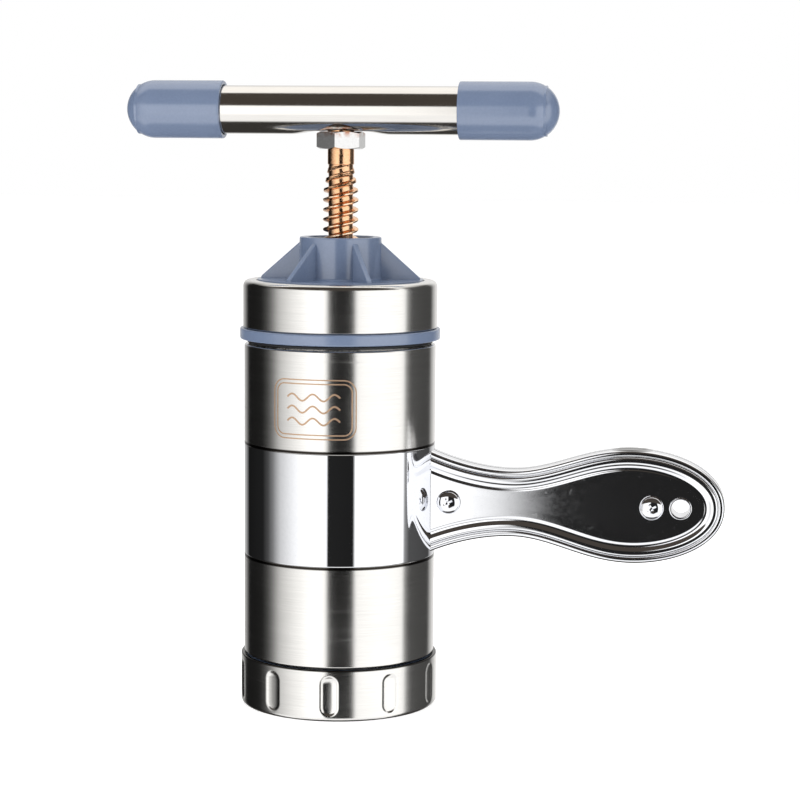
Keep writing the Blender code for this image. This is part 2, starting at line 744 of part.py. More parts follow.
def make_cap_shell():
    """The steel skin of the cap, with a rounded shoulder and a flat lip around the opening."""
    outer, inner = CAP_SHELL_RADIUS, CAP_SHELL_RADIUS - CAP_SHELL_WALL
    under = CAP_SHELL_TOP - CAP_SHELL_WALL
    arc = [math.pi / 2 * i / SHOULDER_POINTS for i in range(SHOULDER_POINTS + 1)]
    corner = (outer - CAP_SHOULDER, CAP_SHELL_TOP - CAP_SHOULDER)
    shoulder = [
        (corner[0] + CAP_SHOULDER * math.sin(a), corner[1] + CAP_SHOULDER * math.cos(a))
        for a in arc
    ]
    profile = [(CAP_OPENING_RADIUS, CAP_SHELL_TOP), *shoulder]
    profile += [(outer, CAP_SHELL_BOTTOM), (inner, CAP_SHELL_BOTTOM)]
    profile += [(inner, under - CAP_SHOULDER + SEAM), (inner - CAP_SHOULDER + SEAM, under)]
    profile += [(CAP_OPENING_RADIUS, under)]
    return brushed(turned("cap_shell", profile))


def make_spindle_bush():
    """The threaded metal bush in the hub, held from below by its flange."""
    profile = [
        (0, BUSH_TOP),
        (BUSH_RADIUS, BUSH_TOP),
        (BUSH_RADIUS, BUSH_FLANGE_TOP),
        (BUSH_FLANGE_RADIUS, BUSH_FLANGE_TOP),
        (BUSH_FLANGE_RADIUS, BUSH_BOTTOM),
        (0, BUSH_BOTTOM),
    ]
    bush = turned("spindle_bush", profile, 2 * SCREW_STEPS)
    cut(bush, spindle_thread("bush_groove", SEAM, BUSH_BOTTOM - MARGIN, BUSH_TOP + MARGIN))
    return finish(bush, STEEL, 0.3, 1)


# Spindle and T-handle


def spindle_thread(name, growth, bottom, top):
    """The spindle's threaded length, or, grown all round, the groove that it turns in.

    One lead of the outline, ridges and roots, is carried up a right-hand helix until it meets its
    own start again, and the rod that this makes is cut off flat at both ends.
    """
    pitch = SPINDLE_LEAD / SPINDLE_STARTS
    root, crest = SPINDLE_CORE_RADIUS + growth, SPINDLE_RADIUS + growth
    half_base, half_crest = FIN_BASE / 2 + growth, FIN_CREST / 2 + growth
    outline = [(root, SPINDLE_LEAD - half_base)]
    for start in range(SPINDLE_STARTS):
        middle = start * pitch
        ridge = [(root, -half_base), (crest, -half_crest), (crest, half_crest), (root, half_base)]
        outline += [(radius, middle + z) for radius, z in ridge]
    outline.append(outline.pop(0))
    first = (math.floor(bottom / SPINDLE_LEAD) - 1) * SPINDLE_LEAD
    count = math.ceil((top - first) / SPINDLE_LEAD) * SCREW_STEPS
    bm = bmesh.new()
    verts = [bm.verts.new((radius, 0, first + z)) for radius, z in outline]
    edges = [bm.edges.new(pair) for pair in zip(verts, verts[1:])]
    bmesh.ops.spin(
        bm,
        geom=verts + edges,
        axis=(0, 0, 1),
        cent=(0, 0, 0),
        dvec=(0, 0, SPINDLE_LEAD / SCREW_STEPS),
        angle=TAU * count / SCREW_STEPS,
        steps=count,
        space=Matrix(),
    )
    bmesh.ops.remove_doubles(bm, verts=bm.verts, dist=0.00001)
    for height, way in ((bottom, -1), (top, 1)):
        geometry = bm.verts[:] + bm.edges[:] + bm.faces[:]
        plane = {"plane_co": (0, 0, height), "plane_no": (0, 0, way)}
        bmesh.ops.bisect_plane(bm, geom=geometry, clear_outer=True, **plane)
    bmesh.ops.holes_fill(bm, edges=bm.edges)
    bmesh.ops.recalc_face_normals(bm, faces=bm.faces)
    return from_bmesh(name, bm)


def run_out(thread):
    """Squeezes the top of the thread into its core over RUN_OUT_LENGTH."""
    for vertex in thread.data.vertices:
        share = min(1, (vertex.co.z - THREAD_TOP) / RUN_OUT_LENGTH)
        limit = SPINDLE_RADIUS - share * (SPINDLE_RADIUS - SPINDLE_CORE_RADIUS)
        radius = vertex.co.xy.length
        if radius > limit:
            vertex.co.xy = vertex.co.xy * (limit / radius)


def make_spindle():
    """The two-start screw, from the journal in the piston to the stud inside the T-handle."""
    top = BAR_Z - TUBE_RADIUS + SPINDLE_DEPTH_IN_BAR
    socket = PISTON_SCREW_RADIUS + SEAM
    socket_top = WASHER_BOTTOM + SEAM
    profile = [
        (0, top),
        (SPINDLE_NECK_RADIUS, top),
        (SPINDLE_NECK_RADIUS, NECK_BOTTOM),
        (JOURNAL_RADIUS, NECK_BOTTOM),
        (JOURNAL_RADIUS, SPINDLE_BOTTOM),
        (socket, SPINDLE_BOTTOM),
        (socket, socket_top),
        (0, socket_top),
    ]
    spindle = turned("spindle", profile, SCREW_STEPS)
    thread = spindle_thread("spindle_thread", 0, THREAD_BOTTOM, NECK_BOTTOM + OVERLAP)
    run_out(thread)
    join(spindle, thread)
    return coppered(spindle)


def make_bar_nut():
    """The hexagon welded between the spindle's neck and the tube."""
    nut = hexagon("bar_nut", BAR_NUT_FLATS, BAR_NUT_BOTTOM, BAR_NUT_TOP)
    turn_to_front(nut)
    bore_top = BAR_NUT_TOP + MARGIN
    bore_radius = SPINDLE_NECK_RADIUS + SEAM
    cut(nut, cylinder("bar_nut_bore", bore_radius, BAR_NUT_BOTTOM - MARGIN, bore_top, SMALL_STEPS))
    return polished(nut)


def turn_to_front(nut):
    """Turns a hexagon, whose first corner faces the front, by the angle that it was welded at."""
    nut.rotation_euler.z = BAR_NUT_TURN


def make_bar_tube():
    """The cross tube, with a seat for the nut and a hole for the spindle in its underside."""
    half = BAR_LENGTH / 2 - GRIP_END_WALL - SEAM
    bar = tube("bar_tube", TUBE_RADIUS - TUBE_WALL, TUBE_RADIUS, -half, half, 2 * SCREW_STEPS)
    bar.rotation_euler.y = math.pi / 2
    bar.location.z = BAR_Z
    seat = hexagon("nut_seat", BAR_NUT_FLATS + 2 * SEAM, BAR_NUT_BOTTOM, BAR_NUT_TOP + SEAM)
    turn_to_front(seat)
    cut(bar, seat)
    stud_radius = SPINDLE_NECK_RADIUS + SEAM
    cut(bar, cylinder("stud_hole", stud_radius, BAR_NUT_BOTTOM - MARGIN, BAR_Z, SMALL_STEPS))
    return polished(bar)


def make_grip(name, side):
    """A closed plastic grip over one end of the tube, its far end a half ball."""
    ball = [math.pi / 2 * i / GRIP_BALL_POINTS for i in range(GRIP_BALL_POINTS + 1)]
    end = GRIP_LENGTH - GRIP_RADIUS
    profile = [(GRIP_RADIUS * math.sin(a), end + GRIP_RADIUS * math.cos(a)) for a in ball]
    profile[0] = (0, GRIP_LENGTH)
    bore = TUBE_RADIUS + SEAM
    bore_end = GRIP_LENGTH - GRIP_END_WALL
    profile += [(GRIP_RADIUS, 0), (bore, 0), (bore, bore_end), (0, bore_end + GRIP_BORE_POINT)]
    grip = plastic(turned(name, profile, SMALL_STEPS))
    grip.rotation_euler = (0, math.pi / 2, 0 if side > 0 else math.pi)
    grip.location = (side * (BAR_LENGTH / 2 - GRIP_LENGTH), 0, BAR_Z)
    return grip


# Piston


def make_piston_face():
    face = cylinder(
        "piston_face", PISTON_BODY_RADIUS, PISTON_BOTTOM, PISTON_BOTTOM + PISTON_FACE_THICKNESS
    )
    return brushed(face)


def make_piston_body():
    """The plastic piston, with a groove for its ring and a recess for the retaining screw."""
    groove = PISTON_SEAL_RADIUS - PISTON_SEAL_WIDTH - SEAM
    groove_top = PISTON_SEAL_BOTTOM + PISTON_SEAL_HEIGHT + SEAM
    recess = PISTON_SCREW_HEAD_RADIUS + SEAM
    journal = JOURNAL_RADIUS + SEAM
    profile = [
        (PISTON_BODY_RADIUS, PISTON_BODY_TOP),
        (PISTON_BODY_RADIUS, groove_top),
        (groove, groove_top),
        (groove, PISTON_SEAL_BOTTOM - SEAM),
        (PISTON_BODY_RADIUS, PISTON_SEAL_BOTTOM - SEAM),
        (PISTON_BODY_RADIUS, PISTON_BODY_BOTTOM),
        (recess, PISTON_BODY_BOTTOM),
        (recess, SPINDLE_BOTTOM),
        (journal, SPINDLE_BOTTOM),
        (journal, PISTON_BODY_TOP),
    ]
    return plastic(turned("piston_body", profile))


def make_piston_seal():
    inner = PISTON_SEAL_RADIUS - PISTON_SEAL_WIDTH
    bottom = PISTON_SEAL_BOTTOM
    return rubber(tube("piston_seal", inner, PISTON_SEAL_RADIUS, bottom, bottom + PISTON_SEAL_HEIGHT))


def make_piston_screw():
    """The large-headed screw that keeps the spindle's journal in the piston."""
    head_top = PISTON_SCREW_BOTTOM + PISTON_SCREW_HEAD_HEIGHT
    profile = [
        (0, WASHER_BOTTOM),
        (PISTON_SCREW_RADIUS, WASHER_BOTTOM),
        (PISTON_SCREW_RADIUS, head_top),
        (PISTON_SCREW_HEAD_RADIUS, head_top),
        (PISTON_SCREW_HEAD_RADIUS, PISTON_SCREW_BOTTOM),
        (0, PISTON_SCREW_BOTTOM),
    ]
    return polished(turned("piston_screw", profile, SMALL_STEPS))


def make_thrust_washer():
    inner = JOURNAL_RADIUS + SEAM
    top = WASHER_BOTTOM + WASHER_THICKNESS
    return coppered(tube("thrust_washer", inner, WASHER_RADIUS, WASHER_BOTTOM, top, SMALL_STEPS))


# The whole press


def make_axis(name, parent=None):
    """An empty on the barrel's axis, which every joint of the press shares."""
    axis = bpy.data.objects.new(name, None)
    PRESS.objects.link(axis)
    axis.parent = parent
    return axis


def make_press():
    root = make_axis("press_axis")
    root.location.x = BARREL_X
    fixed = [
        make_barrel_tube(),
        make_sleeve("lower_sleeve", LOWER_SLEEVE_BOTTOM, LOWER_SLEEVE_HEIGHT),
        make_sleeve("upper_sleeve", UPPER_SLEEVE_BOTTOM, UPPER_SLEEVE_HEIGHT),
        make_handle_strap(),
        make_screw("clamp_screw", CLAMP_SCREW_X),
        make_nut("clamp_nut", CLAMP_SCREW_X),
        make_screw("tip_screw", TIP_SCREW_X),
        make_nut("tip_nut", TIP_SCREW_X),
        make_hang_eyelet(),
    ]
    cap = [make_cap_insert(), make_cap_shell(), make_spindle_bush()]
    piston = [make_piston_face(), make_piston_body(), make_piston_seal()]
    spindle = [
        make_spindle(),
        make_bar_nut(),
        make_bar_tube(),
        make_grip("left_grip", -1),
        make_grip("right_grip", 1),
        make_piston_screw(),
        make_thrust_washer(),
    ]
    ring = [make_ring_shell(), make_ring_insert()]
    groups = {
        root: fixed,
        make_axis("seal_axis", root): [make_cap_seal()],
        make_axis("cap_axis", root): cap,
        make_axis("piston_axis", root): piston,
        make_axis("spindle_axis", root): spindle,
        make_axis("sieve_axis", root): [make_sieve_plate()],
        make_axis("ring_axis", root): ring,
    }
    for axis, pieces in groups.items():
        for piece in pieces:
            piece.parent = axis
    for tool in CUTTERS.objects:
        tool.parent = root


clear_scene()
PRESS = make_collection("screw_press")
CUTTERS = make_collection("cutters")
make_press()
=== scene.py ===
"""The looks of the hand screw press: finely turned skins, a pressed handle, a rolled two-start screw,
moulded plastic and their finishes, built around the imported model, with a studio and its camera.

Pieces are made about the barrel's own axis and then moved onto it. Lengths are in metres.
"""

import math

import bmesh
import bpy
from mathutils import Matrix, Vector, noise
from mathutils.geometry import interpolate_bezier


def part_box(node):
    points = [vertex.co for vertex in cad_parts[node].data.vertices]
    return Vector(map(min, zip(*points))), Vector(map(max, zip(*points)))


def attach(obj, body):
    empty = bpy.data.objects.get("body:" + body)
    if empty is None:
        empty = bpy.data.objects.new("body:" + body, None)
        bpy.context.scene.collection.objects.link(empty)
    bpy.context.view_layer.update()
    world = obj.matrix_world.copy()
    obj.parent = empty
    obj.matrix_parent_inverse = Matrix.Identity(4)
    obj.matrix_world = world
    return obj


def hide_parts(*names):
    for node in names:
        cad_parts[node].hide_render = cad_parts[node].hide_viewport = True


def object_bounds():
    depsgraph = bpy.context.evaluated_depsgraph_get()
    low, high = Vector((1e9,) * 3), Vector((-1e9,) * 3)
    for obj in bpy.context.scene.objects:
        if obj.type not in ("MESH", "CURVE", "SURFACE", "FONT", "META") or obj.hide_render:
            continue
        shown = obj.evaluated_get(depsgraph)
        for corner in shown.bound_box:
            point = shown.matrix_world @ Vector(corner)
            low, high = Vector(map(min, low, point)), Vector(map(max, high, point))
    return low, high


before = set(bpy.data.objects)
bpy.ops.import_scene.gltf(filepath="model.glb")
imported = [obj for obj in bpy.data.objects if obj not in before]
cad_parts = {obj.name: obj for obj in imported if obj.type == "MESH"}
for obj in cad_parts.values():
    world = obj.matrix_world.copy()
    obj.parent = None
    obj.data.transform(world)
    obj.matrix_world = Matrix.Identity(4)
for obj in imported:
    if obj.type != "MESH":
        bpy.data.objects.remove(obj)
CAD_LOW, CAD_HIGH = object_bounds()

MM = 0.001
TAU = 2 * math.pi
ROUND_STEPS = 192
SMALL_STEPS = 96
EDGE_STEPS = 5
SHARP_ANGLE = math.radians(40)


def span(node):
    """The radius, bottom and top of an upright round node."""
    low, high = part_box(node)
    return (high.x - low.x) / 2, low.z, high.z


SLEEVE_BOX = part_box("lower_sleeve")
AXIS_X = (SLEEVE_BOX[0].x + SLEEVE_BOX[1].x) / 2
SLEEVE_RADIUS = span("lower_sleeve")[0]
SLEEVE_WALL = 1.5 * MM
SEAM = 0.3 * MM
EDGE = 0.7 * MM
JOINT_GAP = 0.15 * MM
# How far the painted shade along the barrel's joints reaches from each seam.
SHADE_LINE_REACH = 0.65 * MM


# Mesh tools


def eased(points, steps=EDGE_STEPS):
    """A profile whose corners with a third number, their rounding, are turned into arcs."""
    smooth = []
    for before, here, after in zip(points[-1:] + points[:-1], points, points[1:] + points[:1]):
        corner = Vector(here[:2])
        if len(here) == 2:
            smooth.append(tuple(corner))
            continue
        first = corner + (Vector(before[:2]) - corner).normalized() * here[2]
        last = corner + (Vector(after[:2]) - corner).normalized() * here[2]
        for i in range(steps + 1):
            t = i / steps
            smooth.append(tuple(first.lerp(corner, t).lerp(corner.lerp(last, t), t)))
    return smooth


def turned(profile, steps=ROUND_STEPS):
    """A profile of (radius, z) points, turned about Z into a closed body."""
    bm = bmesh.new()
    rings = []
    for radius, z in profile:
        if radius == 0:
            rings.append([bm.verts.new((0, 0, z))] * steps)
            continue
        angles = [TAU * k / steps for k in range(steps)]
        rings.append([bm.verts.new((radius * math.cos(a), radius * math.sin(a), z)) for a in angles])
    for upper, lower in zip(rings, rings[1:] + rings[:1]):
        for k in range(steps):
            n = (k + 1) % steps
            corners = dict.fromkeys((upper[k], lower[k], lower[n], upper[n]))
            if len(corners) > 2:
                bm.faces.new(corners)
    return bm


def tube(inner, outer, bottom, top, rounding, steps=ROUND_STEPS):
    inside = min(rounding, (outer - inner) / 4)
    profile = [
        (outer, top, rounding),
        (outer, bottom, rounding),
        (inner, bottom, inside),
        (inner, top, inside),
    ]
    return turned(eased(profile), steps)


def cone(radius, bottom, top, steps, top_radius=None):
    bm = bmesh.new()
    bmesh.ops.create_cone(
        bm,
        cap_ends=True,
        segments=steps,
        radius1=radius,
        radius2=radius if top_radius is None else top_radius,
        depth=top - bottom,
        matrix=Matrix.Translation((0, 0, (bottom + top) / 2)),
    )
    return bm


def temporary(bm):
    mesh = bpy.data.meshes.new("temporary")
    bm.to_mesh(mesh)
    bm.free()
    piece = bpy.data.objects.new("temporary", mesh)
    bpy.context.scene.collection.objects.link(piece)
    return piece


def combined(bm, operation, *tools):
    """The body after a Boolean operation with each of the tools."""
    piece = temporary(bm)
    cutters = [temporary(tool) for tool in tools]
    for cutter in cutters:
        modifier = piece.modifiers.new(operation, "BOOLEAN")
        modifier.operation = operation
        modifier.object = cutter
    graph = bpy.context.evaluated_depsgraph_get()
    graph.update()
    result = bmesh.new()
    result.from_mesh(piece.evaluated_get(graph).to_mesh())
    for used in [piece, *cutters]:
        bpy.data.objects.remove(used)
    return result


def merged(bodies):
    """Several loose bodies in one mesh."""
    result = bmesh.new()
    for bm in bodies:
        mesh = bpy.data.meshes.new("part")
        bm.to_mesh(mesh)
        bm.free()
        result.from_mesh(mesh)
        bpy.data.meshes.remove(mesh)
    return result


def moved(bm, matrix):
    bmesh.ops.transform(bm, matrix=matrix, verts=bm.verts)
    return bm


def add(name, bm, look, body, *nodes):
    """Makes the body a piece with its finish, on its CAD body, in the place of its nodes."""
    bmesh.ops.recalc_face_normals(bm, faces=bm.faces)
    mesh = bpy.data.meshes.new(name)
    bm.to_mesh(mesh)
    bm.free()
    mesh.shade_smooth()
    mesh.set_sharp_from_angle(angle=SHARP_ANGLE)
    material, slot = look
    mesh.materials.clear()
    mesh.materials.append(material)
    piece = bpy.data.objects.new(name, mesh)
    bpy.context.scene.collection.objects.link(piece)
    piece.location.x = AXIS_X
    normals = piece.modifiers.new("Normals", "WEIGHTED_NORMAL")
    normals.keep_sharp = True
    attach(piece, body)
    if nodes:
        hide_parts(*nodes)
    return piece


# Materials


class Graph:
    """A node tree that is filled in by calls."""

    def __init__(self, tree):
        self.tree = tree

    def node(self, kind, inputs=(), **settings):
        made = self.tree.nodes.new(kind)
        for name, value in settings.items():
            setattr(made, name, value)
        for name, value in dict(inputs).items():
            if isinstance(value, bpy.types.NodeSocket):
                self.tree.links.new(value, made.inputs[name])
            else:
                made.inputs[name].default_value = value
        return made

    def math(self, operation, first, second=0.0):
        return self.node("ShaderNodeMath", {0: first, 1: second}, operation=operation).outputs[0]

    def ranged(self, value, low, high, to_low=0.0, to_high=1.0):
        inputs = {0: value, 1: low, 2: high, 3: to_low, 4: to_high}
        return self.node("ShaderNodeMapRange", inputs).outputs[0]

    def mixed(self, factor, first, second):
        made = self.node("ShaderNodeMix", {0: factor, 6: first, 7: second}, data_type="RGBA")
        return made.outputs[2]

    def noise(self, vector, scale, detail=4.0):
        inputs = {"Vector": vector, "Scale": scale, "Detail": detail}
        return self.node("ShaderNodeTexNoise", inputs).outputs["Fac"]

    def stretched(self, vector, scale):
        return self.node("ShaderNodeMapping", {"Vector": vector, "Scale": scale}).outputs[0]


def surface(name, colours, roughness, grain, bump, scratches=0.0, tint=None, **shader):
    """A Principled material with grain, clouding and fine scratches.

    colours and roughness are the low and high values, grain is the noise's scale along X, Y and Z
    per metre, bump is the grain's depth in metres, and tint(graph, place, colour) recolours it.
    """
    material = bpy.data.materials.new(name)
    material.use_nodes = True
    graph = Graph(material.node_tree)
    principled = material.node_tree.nodes["Principled BSDF"]
    place = graph.node("ShaderNodeTexCoord").outputs["Object"]
    fine = graph.noise(graph.stretched(place, grain), 1.0, 6.0)
    cloud = graph.noise(place, 55.0, 3.0)
    scored = graph.noise(graph.stretched(place, [0.35 * g for g in grain]), 1.0, 2.0)
    score = graph.ranged(scored, 0.66, 0.72, 0.0, scratches)
    blend = graph.math("ADD", graph.math("MULTIPLY", fine, 0.55), graph.math("MULTIPLY", cloud, 0.45))
    low, high = [(*colour, 1.0) for colour in colours]
    colour = graph.mixed(graph.ranged(blend, 0.3, 0.7), low, high)
    if tint:
        colour = tint(graph, place, colour)
    rough = graph.math("ADD", graph.ranged(blend, 0.3, 0.7, *roughness), score)
    height = graph.math("SUBTRACT", fine, graph.math("MULTIPLY", score, 2.0))
    dent = graph.node("ShaderNodeBump", {"Height": height, "Distance": bump, "Strength": 1.0})
    links = material.node_tree.links
    links.new(colour, principled.inputs["Base Color"])
    links.new(rough, principled.inputs["Roughness"])
    links.new(dent.outputs[0], principled.inputs["Normal"])
    for socket, value in shader.items():
        principled.inputs[socket.replace("_", " ")].default_value = value
    return material


def heat_tint(graph, place, colour):
    """The straw and brown colours that welding left at the top of the nut."""
    height = graph.node("ShaderNodeSeparateXYZ", {0: place}).outputs["Z"]
    top = span("bar_nut")[2]
    near = graph.ranged(height, top - 2.2 * MM, top)
    patch = graph.math("MULTIPLY", near, graph.ranged(graph.noise(place, 420.0), 0.4, 0.62))
    return graph.mixed(patch, colour, (0.42, 0.16, 0.07, 1.0))


def crest_wear(graph, place, colour):
    """Plating worn bright on the crests of the screw."""
    flat = graph.node("ShaderNodeVectorMath", {0: place, 1: (1, 1, 0)}, operation="MULTIPLY")
    length = graph.node("ShaderNodeVectorMath", {0: flat.outputs[0]}, operation="LENGTH")
    reach = length.outputs["Value"]
    worn = graph.math(
        "MULTIPLY",
        graph.ranged(reach, 5.5 * MM, 5.9 * MM),
        graph.ranged(graph.noise(place, 700.0), 0.35, 0.6),
    )
    return graph.mixed(worn, colour, (0.92, 0.74, 0.55, 1.0))


def joint_painted_shade(graph, place, colour):
    """Painted shade: dark lines painted along the joints between ring, sleeves and strap, standing in for
    the shade inside the seams.
    """
    height = graph.node("ShaderNodeSeparateXYZ", {0: place}).outputs["Z"]
    strap_low, strap_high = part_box("handle_strap")
    dark = 0.0
    for joint in (span("lower_sleeve")[1], strap_low.z, strap_high.z + SEAM):
        away = graph.math("ABSOLUTE", graph.math("SUBTRACT", height, joint - SEAM / 2))
        line = graph.ranged(away, SHADE_LINE_REACH / 2, SHADE_LINE_REACH, 1.0, 0.0)
        dark = graph.math("MAXIMUM", dark, line)
    # Mixes the painted shade colour into the steel along the joints.
    return graph.mixed(dark, colour, (0.03, 0.026, 0.022, 1.0))


BRUSHED = (
    surface(
        "brushed_steel",
        ((0.72, 0.71, 0.69), (0.84, 0.83, 0.81)),
        (0.13, 0.20),
        (60.0, 60.0, 4200.0),
        0.0000012,
        scratches=0.05,
        # The tint paints shade along the seams between ring, sleeves and strap.
        tint=joint_painted_shade,
        Metallic=1.0,
    ),
    "brushed_skin",
)
POLISHED = (
    surface(
        "mirror_steel",
        ((0.82, 0.83, 0.86), (0.87, 0.88, 0.91)),
        (0.03, 0.06),
        (900.0, 900.0, 900.0),
        0.0000004,
        scratches=0.03,
        # The tint paints shade along the seams between ring, sleeves and strap.
        tint=joint_painted_shade,
        Metallic=1.0,
    ),
    "polished_steel",
)
TUBE_STEEL = (
    surface(
        "tube_steel",
        ((0.72, 0.70, 0.67), (0.80, 0.78, 0.75)),
        (0.10, 0.16),
        (60.0, 2600.0, 2600.0),
        0.0000008,
        scratches=0.03,
        Metallic=1.0,
    ),
    "polished_steel",
)
NUT_STEEL = (
    surface(
        "nut_steel",
        ((0.66, 0.66, 0.66), (0.78, 0.78, 0.78)),
        (0.08, 0.2),
        (1500.0, 1500.0, 1500.0),
        0.000004,
        scratches=0.05,
        tint=heat_tint,
        Metallic=1.0,
    ),
    "polished_steel",
)
PLAIN_STEEL = (
    surface(
        "plain_steel",
        ((0.50, 0.49, 0.47), (0.62, 0.61, 0.59)),
        (0.22, 0.34),
        (1200.0, 1200.0, 1200.0),
        0.000005,
        scratches=0.06,
        Metallic=1.0,
    ),
    "plain_steel",
)
COPPER = (
    surface(
        "copper_plate",
        ((0.80, 0.40, 0.19), (1.0, 0.66, 0.42)),
        (0.08, 0.26),
        (1100.0, 1100.0, 2200.0),
        0.00006,
        scratches=0.08,
        tint=crest_wear,
        Metallic=1.0,
    ),
    "copper_plate",
)
BRONZE_ETCH = (
    surface(
        "etched_bronze",
        ((0.50, 0.32, 0.20), (0.66, 0.46, 0.32)),
        (0.35, 0.5),
        (2500.0, 2500.0, 2500.0),
        0.000006,
        Metallic=0.8,
    ),
    "copper_plate",
)
PLASTIC = (
    surface(
        "blue_plastic",
        ((0.135, 0.178, 0.275), (0.155, 0.202, 0.305)),
        (0.16, 0.24),
        (1300.0, 1300.0, 1300.0),
        0.0000008,
        Metallic=0.0,
        IOR=1.6,
        Specular_IOR_Level=0.9,
    ),
    "blue_plastic",
)
RUBBER = (
    surface(
        "black_rubber",
        ((0.010, 0.010, 0.011), (0.022, 0.022, 0.024)),
        (0.45, 0.65),
        (2200.0, 2200.0, 2200.0),
        0.00002,
        Metallic=0.0,
    ),
    "black_rubber",
)


# Barrel


def make_sleeve(name, node):
    radius, bottom, top = span(node)
    sleeve = tube(radius - SLEEVE_WALL, radius, bottom + JOINT_GAP, top - JOINT_GAP, EDGE)
    add(name, sleeve, BRUSHED, "barrel", node)


MARK_ANGLE = math.radians(-6.5)
MARK_Z = span("upper_sleeve")[1] + 15.2 * MM
MARK_HALF_WIDTH = 14.2 * MM
MARK_HALF_HEIGHT = 9.6 * MM
MARK_CORNER = 4.0 * MM
MARK_LINE = 0.42 * MM
MARK_RAISE = 0.02 * MM
WAVE_COUNT = 3
WAVE_HEIGHT = 1.1 * MM
WAVE_GAP = 3.9 * MM
WAVE_HALF = 9.0 * MM
WAVE_PERIODS = 2.5


def ribbon(points, width, thickness, cyclic):
    """A flat wire along (u, v) points, laid around the upper sleeve at the mark's place."""
    count = len(points)
    bm = bmesh.new()
    loops = []
    for k, here in enumerate(points):
        before = points[k - 1] if cyclic or k else here
        after = points[(k + 1) % count] if cyclic or k < count - 1 else here
        along = (Vector(after) - Vector(before)).normalized()
        side = Vector((-along.y, along.x)) * width / 2
        loop = []
        for way, lift in ((1, thickness), (-1, thickness), (-1, -thickness), (1, -thickness)):
            u, v = Vector(here) + way * side
            angle = MARK_ANGLE + u / SLEEVE_RADIUS
            radius = SLEEVE_RADIUS + lift
            loop.append(bm.verts.new((radius * math.sin(angle), -radius * math.cos(angle), MARK_Z + v)))
        loops.append(loop)
    for k in range(count if cyclic else count - 1):
        here, after = loops[k], loops[(k + 1) % count]
        for c in range(4):
            bm.faces.new((here[c - 1], here[c], after[c], after[c - 1]))
    if not cyclic:
        bm.faces.new(loops[0])
        bm.faces.new(loops[-1])
    return bm


def mark_frame(inset):
    """A rectangle with round corners."""
    corner = MARK_CORNER - inset
    points = []
    for quarter in range(4):
        side = (1, -1, -1, 1)[quarter]
        rise = (1, 1, -1, -1)[quarter]
        middle = Vector((side * (MARK_HALF_WIDTH - MARK_CORNER), rise * (MARK_HALF_HEIGHT - MARK_CORNER)))
        for i in range(9):
            a = math.pi / 2 * (quarter + i / 8)
            points.append(middle + corner * Vector((math.cos(a), math.sin(a))))
    dense = []
    for start, end in zip(points, points[1:] + points[:1]):
        pieces = max(1, round((end - start).length / (1.2 * MM)))
        dense += [start.lerp(end, i / pieces) for i in range(pieces)]
    return dense


def make_mark():
    """A plain etched mark: two frames around three wavy lines."""
    lines = [ribbon(mark_frame(inset), MARK_LINE, MARK_RAISE, True) for inset in (0, 1.3 * MM)]
    for row in range(WAVE_COUNT):
        height = (row - (WAVE_COUNT - 1) / 2) * WAVE_GAP
        wave = []
        for i in range(61):
            share = i / 60
            u = (2 * share - 1) * WAVE_HALF
            wave.append((u, height + WAVE_HEIGHT * math.sin(TAU * WAVE_PERIODS * share)))
        lines.append(ribbon(wave, 1.4 * MARK_LINE, MARK_RAISE, False))
    add("etched_mark", merged(lines), BRONZE_ETCH, "barrel")


# Strap and side handle

STRAP_LOW, STRAP_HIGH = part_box("handle_strap")
HANDLE_Z = (STRAP_LOW.z + STRAP_HIGH.z) / 2
HANDLE_REACH = STRAP_HIGH.x - AXIS_X
HANDLE_ROOT = 31.1 * MM
HANDLE_ROOT_HALF = 17.2 * MM
HANDLE_WAIST = (58.5 * MM, 11.1 * MM)
HANDLE_BULGE = (98.0 * MM, 18.8 * MM)
HANDLE_SPAN_POINTS = 33
HANDLE_SPLIT_HALF = 0.3 * MM
HANDLE_SHEET = 1.1 * MM
PANEL_FACE = 5.0 * MM
CLAMP_X = (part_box("clamp_screw")[0].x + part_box("clamp_screw")[1].x) / 2 - AXIS_X
TIP_X = (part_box("tip_screw")[0].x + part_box("tip_screw")[1].x) / 2 - AXIS_X
HOLE_X = (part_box("hang_eyelet")[0].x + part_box("hang_eyelet")[1].x) / 2 - AXIS_X
HOLE_RADIUS = 2.9 * MM
EYELET_WALL = 0.5 * MM
BOLT_HOLE = 2.3 * MM

# The pressed section, from the rim's edge to the panel: inset from the outline, then height, in mm
PRESSED_SECTION = [
    (0, 0.3),
    (0, 3.0),
    (0.06, 4.2),
    (0.45, 4.82),
    (0.95, 4.99),
    (1.6, 5.0),
    (1.85, 4.84),
    (2.1, 4.84),
    (2.4, 5.25),
    (2.8, 5.47),
    (3.5, 5.5),
    (4.2, 5.42),
    (5.0, 5.02),
    (5.6, 4.84),
    (6.2, 4.84),
    (6.8, 4.98),
    (7.4, 5.0),
    (9.8, 4.99),
]
SECTION_FILL = 3


def handle_outline(inset):
    """The handle's outline around its tip, from its upper root to its lower, moved inwards."""
    root = (HANDLE_ROOT, HANDLE_ROOT_HALF)
    spans = [
        (root, (0.25, 0.49), (0.38, 0), HANDLE_WAIST),
        (HANDLE_WAIST, (0.34, 0), (0.40, 0), HANDLE_BULGE),
        (HANDLE_BULGE, (0.49, 0), (0, 0.64), (HANDLE_REACH, 0)),
    ]
    path = []
    for start, leave, arrive, end in spans:
        start, end = Vector(start), Vector(end)
        first = start + (end - start) * Vector(leave)
        last = end - (end - start) * Vector(arrive)
        points = interpolate_bezier(start, first, last, end, HANDLE_SPAN_POINTS)
        path += points[1:] if path else points
    upper = []
    for before, here, after in zip(path[:1] + path, path, path[1:]):
        along = (after - before).normalized()
        upper.append(here + inset * Vector((along.y, -along.x)))
    upper[0].x = HANDLE_ROOT
    lower = [Vector((point.x, -point.y)) for point in reversed(upper)]
    return upper + [Vector((HANDLE_REACH - inset, 0))] + lower


